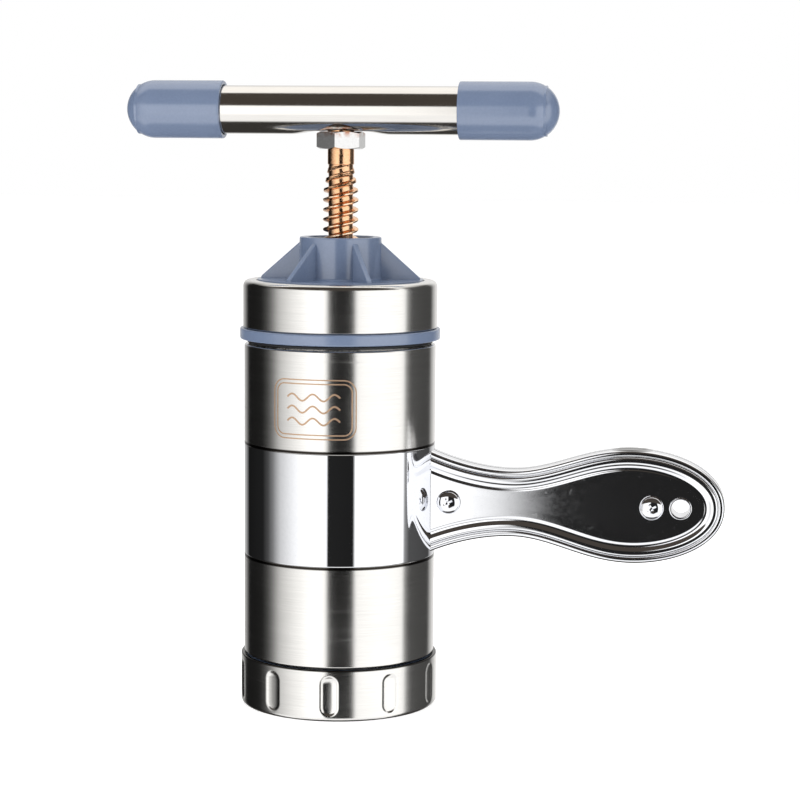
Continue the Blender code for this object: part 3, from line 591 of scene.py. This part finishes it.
def section_curve(points, fill):
    """A Catmull-Rom curve through the section's points."""
    smooth = []
    ends = [points[0]] + points + [points[-1]]
    for a, b, c, d in zip(ends, ends[1:], ends[2:], ends[3:]):
        a, b, c, d = Vector(a), Vector(b), Vector(c), Vector(d)
        for i in range(fill):
            t = i / fill
            square = (2 * a - 5 * b + 4 * c - d) * t * t
            cube = (3 * b - a - 3 * c + d) * t**3
            smooth.append(0.5 * (2 * b + (c - a) * t + square + cube))
    return smooth + [Vector(points[-1])]


def make_handle_half(name, side):
    """One pressed half of the handle, side -1 for the front and 1 for the back."""
    outside = [point * MM for point in section_curve(PRESSED_SECTION, SECTION_FILL)]
    sheet = HANDLE_SHEET
    inside = [
        (9.8 * MM, PANEL_FACE - 0.12 * MM - sheet),
        (6.0 * MM, PANEL_FACE - 0.2 * MM - sheet),
        (2.4 * MM, PANEL_FACE - sheet),
        (sheet + 0.2 * MM, 3.2 * MM),
        (sheet, 2.4 * MM),
        (sheet, HANDLE_SPLIT_HALF),
    ]
    bm = bmesh.new()
    rings = [tuple(point) for point in reversed(outside)] + inside[::-1]
    rows = [
        [bm.verts.new((x, side * height, HANDLE_Z + z)) for x, z in handle_outline(inset)]
        for inset, height in rings
    ]
    for row, after in zip(rows, rows[1:]):
        for k in range(len(row) - 1):
            bm.faces.new((row[k], row[k + 1], after[k + 1], after[k]))
    for panel in (rows[0], rows[-1]):
        for k in range(len(panel) // 2):
            bm.faces.new(dict.fromkeys((panel[-1 - k], panel[-2 - k], panel[k + 1], panel[k])))
    bmesh.ops.holes_fill(bm, edges=bm.edges)
    bmesh.ops.recalc_face_normals(bm, faces=bm.faces)
    holes = [
        across(cone(radius, -2 * PANEL_FACE, 2 * PANEL_FACE, SMALL_STEPS), x)
        for radius, x in ((BOLT_HOLE, CLAMP_X), (BOLT_HOLE, TIP_X), (HOLE_RADIUS + EYELET_WALL, HOLE_X))
    ]
    half = combined(bm, "DIFFERENCE", *holes)
    return add(name, half, POLISHED, "barrel", "handle_strap")


def across(bm, x):
    """Turns a body made along Z so that its upper end faces the front, through the handle at x."""
    return moved(bm, Matrix.Translation((x, 0, HANDLE_Z)) @ Matrix.Rotation(math.pi / 2, 4, "X"))


def make_strap_band():
    """The sheet band around the barrel, split where the handle's halves meet."""
    bottom, top = STRAP_LOW.z + JOINT_GAP, STRAP_HIGH.z - JOINT_GAP
    band = tube(SLEEVE_RADIUS - SLEEVE_WALL, SLEEVE_RADIUS, bottom, top, 0.6 * MM)
    slot = bmesh.new()
    bmesh.ops.create_cube(slot, size=1)
    size = Vector((6 * MM, 2 * HANDLE_SPLIT_HALF, 2 * (STRAP_HIGH.z - STRAP_LOW.z)))
    bmesh.ops.scale(slot, vec=size, verts=slot.verts)
    bmesh.ops.translate(slot, vec=(SLEEVE_RADIUS, 0, HANDLE_Z), verts=slot.verts)
    add("strap_band", combined(band, "DIFFERENCE", slot), POLISHED, "barrel", "handle_strap")


SCREW_HEAD_RADIUS = 4.0 * MM
SCREW_HEAD_HEIGHT = 2.4 * MM
SCREW_RADIUS = 2.0 * MM
SCREW_THREAD_PITCH = 0.7 * MM
SCREW_END = -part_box("clamp_screw")[1].y
SCREW_TURN = math.radians(28)
SMALL_NUT_FLATS = 7.0 * MM


def make_screw(name, node, x):
    """A pan-head screw with a tapered cross recess and a fine thread below its nut."""
    seat = PANEL_FACE
    low = SCREW_END
    top = seat + SCREW_HEAD_HEIGHT
    profile = [
        (0, top),
        (0.45 * SCREW_HEAD_RADIUS, top - 0.04 * SCREW_HEAD_HEIGHT),
        (0.72 * SCREW_HEAD_RADIUS, top - 0.15 * SCREW_HEAD_HEIGHT),
        (0.90 * SCREW_HEAD_RADIUS, top - 0.36 * SCREW_HEAD_HEIGHT),
        (0.98 * SCREW_HEAD_RADIUS, top - 0.62 * SCREW_HEAD_HEIGHT),
        (SCREW_HEAD_RADIUS, top - 0.82 * SCREW_HEAD_HEIGHT),
        (0.98 * SCREW_HEAD_RADIUS, seat),
        (SCREW_RADIUS, seat),
    ]
    z = -seat
    while z > low + SCREW_THREAD_PITCH:
        profile += [(SCREW_RADIUS, z), (0.84 * SCREW_RADIUS, z - SCREW_THREAD_PITCH / 2)]
        z -= SCREW_THREAD_PITCH
    profile += [(SCREW_RADIUS, z), (0.8 * SCREW_RADIUS, low), (0, low)]
    arms = []
    for turn in (0, math.pi / 2):
        floor = top - 0.3 * SCREW_HEAD_HEIGHT
        arm = cone(0.3 * SCREW_HEAD_RADIUS, floor, top + MM, 4, 1.1 * SCREW_HEAD_RADIUS)
        squeeze = Matrix.Diagonal((1, 0.2, 1, 1)) @ Matrix.Rotation(math.pi / 4, 4, "Z")
        arms.append(moved(arm, Matrix.Rotation(turn + SCREW_TURN, 4, "Z") @ squeeze))
    screw = combined(turned(profile, SMALL_STEPS), "DIFFERENCE", *arms)
    add(name, across(screw, x), POLISHED, "barrel", node)


def hex_nut(flats, bottom, top, bore):
    """A hexagon with chamfered corners and a bore."""
    corner = flats / math.sqrt(3)
    drop = 0.42 * (corner - flats / 2) * 2
    chamfer = [
        (0, top),
        (0.96 * flats / 2, top),
        (1.06 * corner, top - drop),
        (1.06 * corner, bottom + drop),
        (0.96 * flats / 2, bottom),
        (0, bottom),
    ]
    prism = cone(corner, bottom, top, 6)
    nut = combined(prism, "INTERSECT", turned(chamfer, SMALL_STEPS))
    return combined(nut, "DIFFERENCE", cone(bore, bottom - MM, top + MM, SMALL_STEPS))


def make_small_nut(name, node, x):
    low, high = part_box(node)
    nut = hex_nut(SMALL_NUT_FLATS, -high.y, -low.y, SCREW_RADIUS)
    add(name, across(nut, x), POLISHED, "barrel", node)


def make_eyelet():
    """A rolled tube through the hanging hole, flared over both faces of the handle."""
    outer = HOLE_RADIUS + EYELET_WALL
    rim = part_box("hang_eyelet")[1].x - AXIS_X - HOLE_X
    seat = PANEL_FACE
    face = seat + 0.45 * MM
    profile = [
        (rim, face, 0.3 * MM),
        (rim, seat, 0.1 * MM),
        (outer, seat),
        (outer, -seat),
        (rim, -seat, 0.1 * MM),
        (rim, -face, 0.3 * MM),
        (HOLE_RADIUS, -face, 0.3 * MM),
        (HOLE_RADIUS, face, 0.3 * MM),
    ]
    eyelet = across(turned(eased(profile), SMALL_STEPS), HOLE_X)
    add("hanging_eyelet", eyelet, POLISHED, "barrel", "hang_eyelet")


# Bottom ring

DENT_COUNT = 10
DENT_FIRST_ANGLE = math.radians(4)
DENT_HALF_WIDTH = 2.7 * MM
DENT_HALF_STRAIGHT = 3.75 * MM
DENT_DEPTH = 0.6 * MM
DENT_LIP = 0.6 * MM
DENT_FLATNESS = 2.4
RING_WALL = 1.4 * MM
RING_LIP_RADIUS = 25.5 * MM
RING_LIP = 1.5 * MM
RING_STEPS = 720
RING_ROW = 0.3 * MM
SKIN = 0.01 * MM


def dent_depth(angle, z, middle, radius):
    """How far the wall is pressed in at an angle from the front and a height."""
    pitch = TAU / DENT_COUNT
    off = (angle - DENT_FIRST_ANGLE + pitch / 2) % pitch - pitch / 2
    beyond = max(0, abs(z - middle) - DENT_HALF_STRAIGHT)
    distance = math.hypot(off * radius, beyond)
    share = 1 - distance / (DENT_HALF_WIDTH + DENT_LIP)
    if share <= 0:
        return 0
    lip = min(1, share * (DENT_HALF_WIDTH + DENT_LIP) / (2 * DENT_LIP))
    bowl = 1 - (1 - share) ** DENT_FLATNESS
    return DENT_DEPTH * bowl * lip * lip * (3 - 2 * lip)


def make_ring_wall():
    """The pressed steel ring with its row of grip dents."""
    radius, bottom, top = span("ring_shell")
    inner, lip_top = radius - RING_WALL, bottom + RING_LIP
    profile = eased(
        [
            (radius, top, 0.45 * MM),
            (radius, bottom, 1.3 * MM),
            (RING_LIP_RADIUS, bottom, 0.3 * MM),
            (RING_LIP_RADIUS, lip_top, 0.3 * MM),
            (inner, lip_top),
            (inner, top, 0.3 * MM),
        ]
    )
    dense = []
    for start, end in zip(profile, profile[1:] + profile[:1]):
        outer_wall = min(start[0], end[0]) > radius - SKIN
        count = max(1, round(abs(end[1] - start[1]) / RING_ROW)) if outer_wall else 1
        dense += [tuple(Vector(start).lerp(Vector(end), i / count)) for i in range(count)]
    bm = turned(dense, RING_STEPS)
    for vertex in bm.verts:
        reach = vertex.co.xy.length
        if reach > radius - SKIN:
            angle = math.atan2(vertex.co.x, -vertex.co.y)
            pressed = dent_depth(angle, vertex.co.z, (bottom + top) / 2, radius)
            vertex.co.xy *= (reach - pressed) / reach
    add("ring_wall", bm, BRUSHED, "ring", "ring_shell")


SIEVE_HOLE_RADIUS = 1.6 * MM
SIEVE_HOLE_PITCH = 6.6 * MM
SIEVE_RINGS = 3


def make_sieve():
    radius, bottom, top = span("sieve_plate")
    disc = turned(eased([(0, top), (radius, top, 0.2 * MM), (radius, bottom, 0.2 * MM), (0, bottom)]))
    drills = []
    for ring in range(1, SIEVE_RINGS + 1):
        for number in range(6 * ring):
            angle, reach = TAU * number / (6 * ring), ring * SIEVE_HOLE_PITCH
            drill = cone(SIEVE_HOLE_RADIUS, bottom - MM, top + MM, 24)
            place = Matrix.Translation((reach * math.cos(angle), reach * math.sin(angle), 0))
            drills.append(moved(drill, place))
    add("sieve_disc", combined(disc, "DIFFERENCE", merged(drills)), PLAIN_STEEL, "sieve", "sieve_plate")


# Cap

CAP_OPENING = 28.0 * MM
CAP_WALL = 0.8 * MM
CAP_SHOULDER = 2.3 * MM
HUB_RADIUS = 13.65 * MM
HUB_MOUTH = 11.0 * MM
HUB_HEIGHT = 14.0 * MM
HUB_MOUTH_DEPTH = 6.7 * MM
DISC_THICKNESS = 3.5 * MM
FLANGE_HEIGHT = 3.7 * MM
NUT_ROOT = 29.8 * MM
BUSH_POCKET = 10.3 * MM
RIB_COUNT = 6
RIB_FIRST_ANGLE = math.radians(30)
RIB_THICKNESS = 1.8 * MM
RIB_REACH = 26.8 * MM
RIB_DROP = 1.8 * MM


def make_cap_skin():
    radius, bottom, top = span("cap_shell")
    inner = radius - CAP_WALL
    profile = [
        (CAP_OPENING, top, 0.3 * MM),
        (radius, top, CAP_SHOULDER),
        (radius, bottom, 0.25 * MM),
        (inner, bottom, 0.2 * MM),
        (inner, top - CAP_WALL, CAP_SHOULDER - SEAM),
        (CAP_OPENING, top - CAP_WALL, 0.25 * MM),
    ]
    add("cap_skin", turned(eased(profile, 8)), BRUSHED, "cap", "cap_shell")


def make_rib(angle, root, top):
    """A sloping rib with softened edges, angle from -Y towards +X."""
    inside = (HUB_RADIUS + HUB_MOUTH) / 2
    outline = [
        (inside, root),
        (RIB_REACH, root),
        (RIB_REACH, root + 0.9 * MM),
        (HUB_RADIUS, top),
        (inside, top),
    ]
    bm = bmesh.new()
    sides = [[bm.verts.new((x, y, z)) for x, z in outline] for y in (-RIB_THICKNESS / 2, RIB_THICKNESS / 2)]
    bm.faces.new(sides[0])
    bm.faces.new(sides[1][::-1])
    for k in range(len(outline)):
        bm.faces.new((sides[0][k - 1], sides[0][k], sides[1][k], sides[1][k - 1]))
    bmesh.ops.recalc_face_normals(bm, faces=bm.faces)
    bmesh.ops.bevel(bm, geom=bm.edges, offset=0.35 * MM, segments=3, profile=0.5, affect="EDGES")
    return moved(bm, Matrix.Rotation(angle - math.pi / 2, 4, "Z"))


def make_cap_body():
    """The moulded cap: skirt, foot flange, top disc and ribbed hub."""
    radius, bottom, top = span("cap_insert")
    skirt = span("cap_shell")[0] - CAP_WALL - SEAM
    flange_top = bottom + FLANGE_HEIGHT
    disc = top - HUB_HEIGHT
    disc_radius = CAP_OPENING - SEAM
    under_lip = span("cap_shell")[2] - CAP_WALL - SEAM
    profile = [
        (HUB_RADIUS, top, 0.5 * MM),
        (HUB_RADIUS + 0.25 * MM, disc, 0.8 * MM),
        (disc_radius, disc, 0.2 * MM),
        (disc_radius, under_lip),
        (skirt, under_lip, CAP_SHOULDER),
        (skirt, flange_top),
        (radius, flange_top, 0.6 * MM),
        (radius, bottom, 0.6 * MM),
        (NUT_ROOT, bottom),
        (NUT_ROOT, disc - DISC_THICKNESS),
        (BUSH_POCKET, disc - DISC_THICKNESS),
        (BUSH_POCKET, top - HUB_MOUTH_DEPTH),
        (HUB_MOUTH - 0.3 * MM, top - HUB_MOUTH_DEPTH),
        (HUB_MOUTH, top, 0.6 * MM),
    ]
    body = turned(eased(profile), SMALL_STEPS)
    ribs = [
        make_rib(RIB_FIRST_ANGLE + TAU * number / RIB_COUNT, disc - SEAM, top - RIB_DROP)
        for number in range(RIB_COUNT)
    ]
    add("cap_body", combined(body, "UNION", *ribs), PLASTIC, "cap", "cap_insert")


def make_gasket():
    radius, bottom, top = span("cap_seal")
    add("cap_gasket", tube(NUT_ROOT, radius, bottom, top, 0.3 * MM), RUBBER, "seal", "cap_seal")


# Spindle and T-handle

SCREW_LEAD = 6.5 * MM
SCREW_STARTS = 2
SCREW_STEPS = 72
CORE_RADIUS = 4.1 * MM
CREST_RADIUS = 6.0 * MM
JOURNAL_RADIUS = 3.8 * MM
NECK_RADIUS = 4.4 * MM
NECK_LENGTH = 5.0 * MM
RUN_OUT = 9.5 * MM
BURR = 0.07 * MM
BURR_SCALE = 900
BAR_NUT_FLATS = 14.5 * MM
BAR_NUT_TURN = math.radians(-5)
TUBE_RADIUS = (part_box("bar_tube")[1].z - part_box("bar_tube")[0].z) / 2
TUBE_WALL = 2.0 * MM
TUBE_ROWS = 220
DIMPLE_REACH = 17.0 * MM
DIMPLE_FLAT = 6.5 * MM
BALL_POINTS = 24
GRIP_END_WALL = 4.0 * MM

# One ridge: radius between the core, 0, and the crest, 1, and height about the ridge's middle in mm
RIDGE = [
    (0, -1.0),
    (0.06, -0.8),
    (0.5, -0.56),
    (0.88, -0.38),
    (1, -0.2),
    (1, 0.2),
    (0.88, 0.38),
    (0.5, 0.56),
    (0.06, 0.8),
    (0, 1.0),
]


def make_spindle():
    """The rolled two-start screw: its ridges fade out below the neck and are a little burred."""
    low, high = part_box("spindle")
    nut_bottom = span("bar_nut")[1]
    thread_bottom = span("thrust_washer")[2] + SEAM
    neck_bottom = nut_bottom - NECK_LENGTH
    pitch = SCREW_LEAD / SCREW_STARTS
    outline = [
        (CORE_RADIUS + share * (CREST_RADIUS - CORE_RADIUS), start * pitch + z * MM)
        for start in range(SCREW_STARTS)
        for share, z in RIDGE
    ]
    first = math.floor(thread_bottom / SCREW_LEAD) - 1
    leads = math.ceil((neck_bottom - thread_bottom) / SCREW_LEAD) + 3
    rows = [(r, (first + lead) * SCREW_LEAD + z) for lead in range(leads) for r, z in outline]
    bm = bmesh.new()
    grid = []
    for k in range(SCREW_STEPS):
        angle = TAU * k / SCREW_STEPS
        rise = SCREW_LEAD * k / SCREW_STEPS
        grid.append([bm.verts.new((r * math.cos(angle), r * math.sin(angle), z + rise)) for r, z in rows])
    for k in range(SCREW_STEPS):
        here, after = grid[k], grid[(k + 1) % SCREW_STEPS]
        lift = len(outline) if k == SCREW_STEPS - 1 else 0
        for j in range(len(rows) - 1 - len(outline)):
            bm.faces.new((here[j], after[j + lift], after[j + lift + 1], here[j + 1]))
    for vertex in bm.verts:
        radius = vertex.co.xy.length
        share = min(1, max(0, (vertex.co.z - neck_bottom + RUN_OUT) / RUN_OUT))
        ridge = (radius - CORE_RADIUS) / (CREST_RADIUS - CORE_RADIUS)
        fade = min(ridge, 1 - share)
        burr = BURR * ridge * noise.noise(vertex.co * BURR_SCALE) - BURR * ridge
        wanted = CORE_RADIUS + fade * (CREST_RADIUS - CORE_RADIUS) + burr
        vertex.co.xy *= min(wanted, CREST_RADIUS) / radius
    for height, way in ((thread_bottom, -1), (neck_bottom, 1)):
        geometry = bm.verts[:] + bm.edges[:] + bm.faces[:]
        plane = {"plane_co": (0, 0, height), "plane_no": (0, 0, way)}
        bmesh.ops.bisect_plane(bm, geom=geometry, clear_outer=True, **plane)
    bmesh.ops.holes_fill(bm, edges=bm.edges)
    shoulder = neck_bottom - 0.1 * MM
    neck = eased([(0, high.z), (NECK_RADIUS, high.z), (NECK_RADIUS, shoulder, 0.25 * MM), (0, shoulder)])
    neck = turned(neck, SMALL_STEPS)
    journal_top = thread_bottom + MM
    journal = [(0, journal_top), (JOURNAL_RADIUS, journal_top), (JOURNAL_RADIUS, low.z), (0, low.z)]
    journal = turned(journal, SMALL_STEPS)
    add("rolled_screw", merged([bm, neck, journal]), COPPER, "spindle", "spindle")


def make_weld_nut():
    bottom, top = span("bar_nut")[1:]
    nut = hex_nut(BAR_NUT_FLATS, bottom, top, NECK_RADIUS + 0.05 * MM)
    add("weld_nut", moved(nut, Matrix.Rotation(BAR_NUT_TURN, 4, "Z")), NUT_STEEL, "spindle", "bar_nut")


def make_cross_tube():
    """The polished tube, its underside pressed up to a flat where the nut is welded on."""
    low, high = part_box("bar_tube")
    centre_z, half = high.z - TUBE_RADIUS, (high.x - low.x) / 2
    nut_top = span("bar_nut")[2]
    inner = TUBE_RADIUS - TUBE_WALL
    ways = [(TUBE_RADIUS, (2 * i / TUBE_ROWS - 1) * -half) for i in range(TUBE_ROWS + 1)]
    ways += [(inner, (2 * i / TUBE_ROWS - 1) * half) for i in range(TUBE_ROWS + 1)]
    bm = turned(ways, 128)
    moved(bm, Matrix.Translation((0, 0, centre_z)) @ Matrix.Rotation(math.pi / 2, 4, "Y"))
    for vertex in bm.verts:
        below = centre_z - vertex.co.z
        if below <= 0:
            continue
        thickness = TUBE_RADIUS - Vector((vertex.co.y, below)).length
        away = math.hypot(vertex.co.x, 0.7 * vertex.co.y)
        share = min(1, max(0, (DIMPLE_REACH - away) / (DIMPLE_REACH - DIMPLE_FLAT)))
        share = share * share * (3 - 2 * share)
        floor = centre_z - nut_top - 0.15 * MM - thickness
        if below > floor:
            vertex.co.z = centre_z - below - share * (floor - below)
    add("cross_tube", bm, TUBE_STEEL, "spindle", "bar_tube")


def make_grip(name, node, side):
    """A dipped plastic grip with a half-ball end and a soft lip at its mouth."""
    low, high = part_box(node)
    radius, length = (high.z - low.z) / 2, high.x - low.x
    ball = [math.pi / 2 * i / BALL_POINTS for i in range(BALL_POINTS + 1)]
    profile = [(radius * math.sin(a), length - radius + radius * math.cos(a)) for a in ball]
    profile[0] = (0, length)
    bore = TUBE_RADIUS + SEAM
    profile += [(radius, 0, 0.5 * MM), (bore, 0, 0.3 * MM), (bore, length - GRIP_END_WALL)]
    profile += [(0, length - GRIP_END_WALL)]
    turn = Matrix.Rotation(side * math.pi / 2, 4, "Y")
    mouth = (low.x if side > 0 else high.x) - AXIS_X
    place = Matrix.Translation((mouth, 0, (low.z + high.z) / 2))
    add(name, moved(turned(eased(profile), SMALL_STEPS), place @ turn), PLASTIC, "spindle", node)


# Nodes whose CAD shape is shown as it is

KEPT = {
    "barrel_tube": PLAIN_STEEL,
    "ring_insert": PLASTIC,
    "spindle_bush": PLAIN_STEEL,
    "piston_face": PLAIN_STEEL,
    "piston_body": PLASTIC,
    "piston_seal": RUBBER,
    "piston_screw": POLISHED,
    "thrust_washer": COPPER,
}


def dress_kept_nodes():
    for node, (material, slot) in KEPT.items():
        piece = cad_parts[node]
        piece.data.materials.clear()
        piece.data.materials.append(material)
        piece.data.shade_smooth()
        piece.data.set_sharp_from_angle(angle=SHARP_ANGLE)


# Studio

CAMERA_PLACE = (0.09995, -0.7667, 0.1909)
CAMERA_YAW = math.radians(8.0)
CAMERA_PITCH = math.radians(6.50)
CAMERA_ROLL = math.radians(0.4)
CAMERA_LENS = 104.85

# Brightness of the studio around the press, by angle from -Y towards +X in degrees
STUDIO_RING = [
    (-180, 0.62),
    (-160, 0.50),
    (-142, 0.20),
    (-132, 0.006),
    (-96, 0.010),
    (-86, 0.05),
    (-78, 0.15),
    (-66, 0.46),
    (-46, 0.74),
    (-28, 0.95),
    (-6.2, 1.0),
    (-4.6, 0.012),
    (26, 0.010),
    (28, 0.86),
    (60, 0.94),
    (92, 0.86),
    (94.5, 0.22),
    (102, 0.060),
    (146, 0.042),
    (153, 0.32),
    (168, 0.60),
    (180, 0.62),
]
STUDIO_STRENGTH = 1.5

# Heights in degrees above the horizon between which one part of the studio fades into the next
CEILING_EDGE = (16.5, 19.0)
BACK_TOP_EDGE = (25.0, 50.0)
TABLE_EDGE = (-20.0, -26.0)
BACK_LOW_EDGE = (-25.0, -35.0)
LOW_EDGE = (-54.0, -60.0)

STUDIO_DARK = (0.045, 0.038, 0.032, 1.0)
STUDIO_LOW = (0.03, 0.028, 0.026, 1.0)
STUDIO_TABLE = (0.80, 0.80, 0.80, 1.0)
STUDIO_TOP = (0.85, 0.83, 0.80, 1.0)
SOFT_FILL = 0.5
FLOOR_GLOW = 0.5

# Name, place, width and height in metres, and power in watts
SOFT_BOXES = [
    ("left_box", (-0.9, -0.9, 0.7), (0.9, 1.3), 8),
    ("right_box", (1.2, -0.8, 0.8), (0.9, 1.3), 8),
    ("top_box", (0.0, 0.2, 1.6), (1.6, 1.6), 10),
]


def make_world():
    """Two tall soft boxes, black flags, a dark gap where the camera stands and a pale backdrop."""
    world = bpy.data.worlds.new("studio")
    bpy.context.scene.world = world
    world.use_nodes = True
    graph = Graph(world.node_tree)
    background = world.node_tree.nodes["Background"]
    direction = graph.node("ShaderNodeTexCoord").outputs["Generated"]
    parts = graph.node("ShaderNodeSeparateXYZ", {0: direction}).outputs
    back = graph.math("MULTIPLY", parts["Y"], -1.0)
    turn = graph.math("ARCTAN2", parts["X"], back)
    ramp = graph.node("ShaderNodeValToRGB", {0: graph.ranged(turn, -math.pi, math.pi)})
    stops = ramp.color_ramp.elements
    while len(stops) < len(STUDIO_RING):
        stops.new(0.5)
    for stop, (angle, value) in zip(stops, STUDIO_RING):
        stop.position = (angle + 180) / 360
        stop.color = (value, value * 0.995, value * 0.985, 1.0)
    rise = graph.math("ARCSINE", parts["Z"])
    degrees = graph.math("MULTIPLY", rise, 180 / math.pi)
    ahead = graph.ranged(back, 0.03, 0.11)
    high = graph.math("MULTIPLY", graph.ranged(degrees, *CEILING_EDGE), ahead)
    away = graph.ranged(back, 0.11, 0.03)
    behind_top = graph.math("MULTIPLY", graph.ranged(degrees, *BACK_TOP_EDGE), away)
    colour = graph.mixed(high, ramp.outputs[0], STUDIO_DARK)
    colour = graph.mixed(behind_top, colour, STUDIO_TOP)
    table = graph.math("MULTIPLY", graph.ranged(degrees, *TABLE_EDGE), graph.ranged(back, 0.1, 0.3))
    colour = graph.mixed(table, colour, STUDIO_TABLE)
    below = graph.ranged(degrees, *LOW_EDGE)
    behind = graph.ranged(back, 0.1, 0.0)
    below_behind = graph.math("MULTIPLY", graph.ranged(degrees, *BACK_LOW_EDGE), behind)
    colour = graph.mixed(graph.math("MAXIMUM", below, below_behind), colour, STUDIO_LOW)
    scaled = graph.node("ShaderNodeVectorMath", {0: colour, 3: STUDIO_STRENGTH}, operation="SCALE")
    strong = scaled.outputs[0]
    rays = graph.node("ShaderNodeLightPath").outputs
    seen = graph.mixed(rays["Is Diffuse Ray"], strong, (SOFT_FILL, SOFT_FILL, SOFT_FILL, 1.0))
    seen = graph.mixed(rays["Is Camera Ray"], seen, (1.0, 1.0, 1.0, 1.0))
    world.node_tree.links.new(seen, background.inputs["Color"])


def make_soft_box(name, place, size, power):
    """An area light that shines on the middle of the press and isn't seen itself."""
    data = bpy.data.lights.new(name, "AREA")
    data.shape = "RECTANGLE"
    data.size, data.size_y = size
    data.energy = power
    lamp = bpy.data.objects.new(name, data)
    bpy.context.scene.collection.objects.link(lamp)
    lamp.location = place
    middle = (CAD_LOW + CAD_HIGH) / 2
    lamp.rotation_mode = "QUATERNION"
    lamp.rotation_quaternion = (middle - Vector(place)).to_track_quat("-Z", "Y")
    lamp.visible_glossy = False
    lamp.visible_camera = False


def make_floor():
    bm = bmesh.new()
    bmesh.ops.create_grid(bm, x_segments=1, y_segments=1, size=6)
    mesh = bpy.data.meshes.new("floor")
    bm.to_mesh(mesh)
    bm.free()
    material = bpy.data.materials.new("pale_floor")
    material.use_nodes = True
    shader = material.node_tree.nodes["Principled BSDF"]
    shader.inputs["Base Color"].default_value = (0.93, 0.93, 0.93, 1)
    shader.inputs["Roughness"].default_value = 0.7
    shader.inputs["Emission Color"].default_value = (1, 1, 1, 1)
    shader.inputs["Emission Strength"].default_value = FLOOR_GLOW
    mesh.materials.append(material)
    floor = bpy.data.objects.new("floor", mesh)
    bpy.context.scene.collection.objects.link(floor)
    floor.location.z = CAD_LOW.z
    floor.visible_glossy = False


def make_camera():
    data = bpy.data.cameras.new("camera")
    data.lens = CAMERA_LENS
    data.sensor_width = 36
    camera = bpy.data.objects.new("camera", data)
    bpy.context.scene.collection.objects.link(camera)
    turn = Matrix.Rotation(CAMERA_YAW, 4, "Z")
    tilt = Matrix.Rotation(math.pi / 2 - CAMERA_PITCH, 4, "X")
    roll = Matrix.Rotation(CAMERA_ROLL, 4, "Z")
    camera.matrix_world = Matrix.Translation(CAMERA_PLACE) @ turn @ tilt @ roll
    bpy.context.scene.camera = camera


def make_studio():
    make_camera()
    make_world()
    make_floor()
    for name, place, size, power in SOFT_BOXES:
        make_soft_box(name, place, size, power)
    bpy.context.scene.view_settings.view_transform = "Standard"


make_studio()
make_sleeve("lower_skin", "lower_sleeve")
make_sleeve("upper_skin", "upper_sleeve")
make_mark()
make_strap_band()
make_handle_half("handle_front", -1)
make_handle_half("handle_back", 1)
make_screw("clamp_bolt", "clamp_screw", CLAMP_X)
make_screw("tip_bolt", "tip_screw", TIP_X)
make_small_nut("clamp_hex", "clamp_nut", CLAMP_X)
make_small_nut("tip_hex", "tip_nut", TIP_X)
make_eyelet()
make_ring_wall()
make_sieve()
make_cap_skin()
make_cap_body()
make_gasket()
make_spindle()
make_weld_nut()
make_cross_tube()
make_grip("grip_left", "left_grip", -1)
make_grip("grip_right", "right_grip", 1)
dress_kept_nodes()
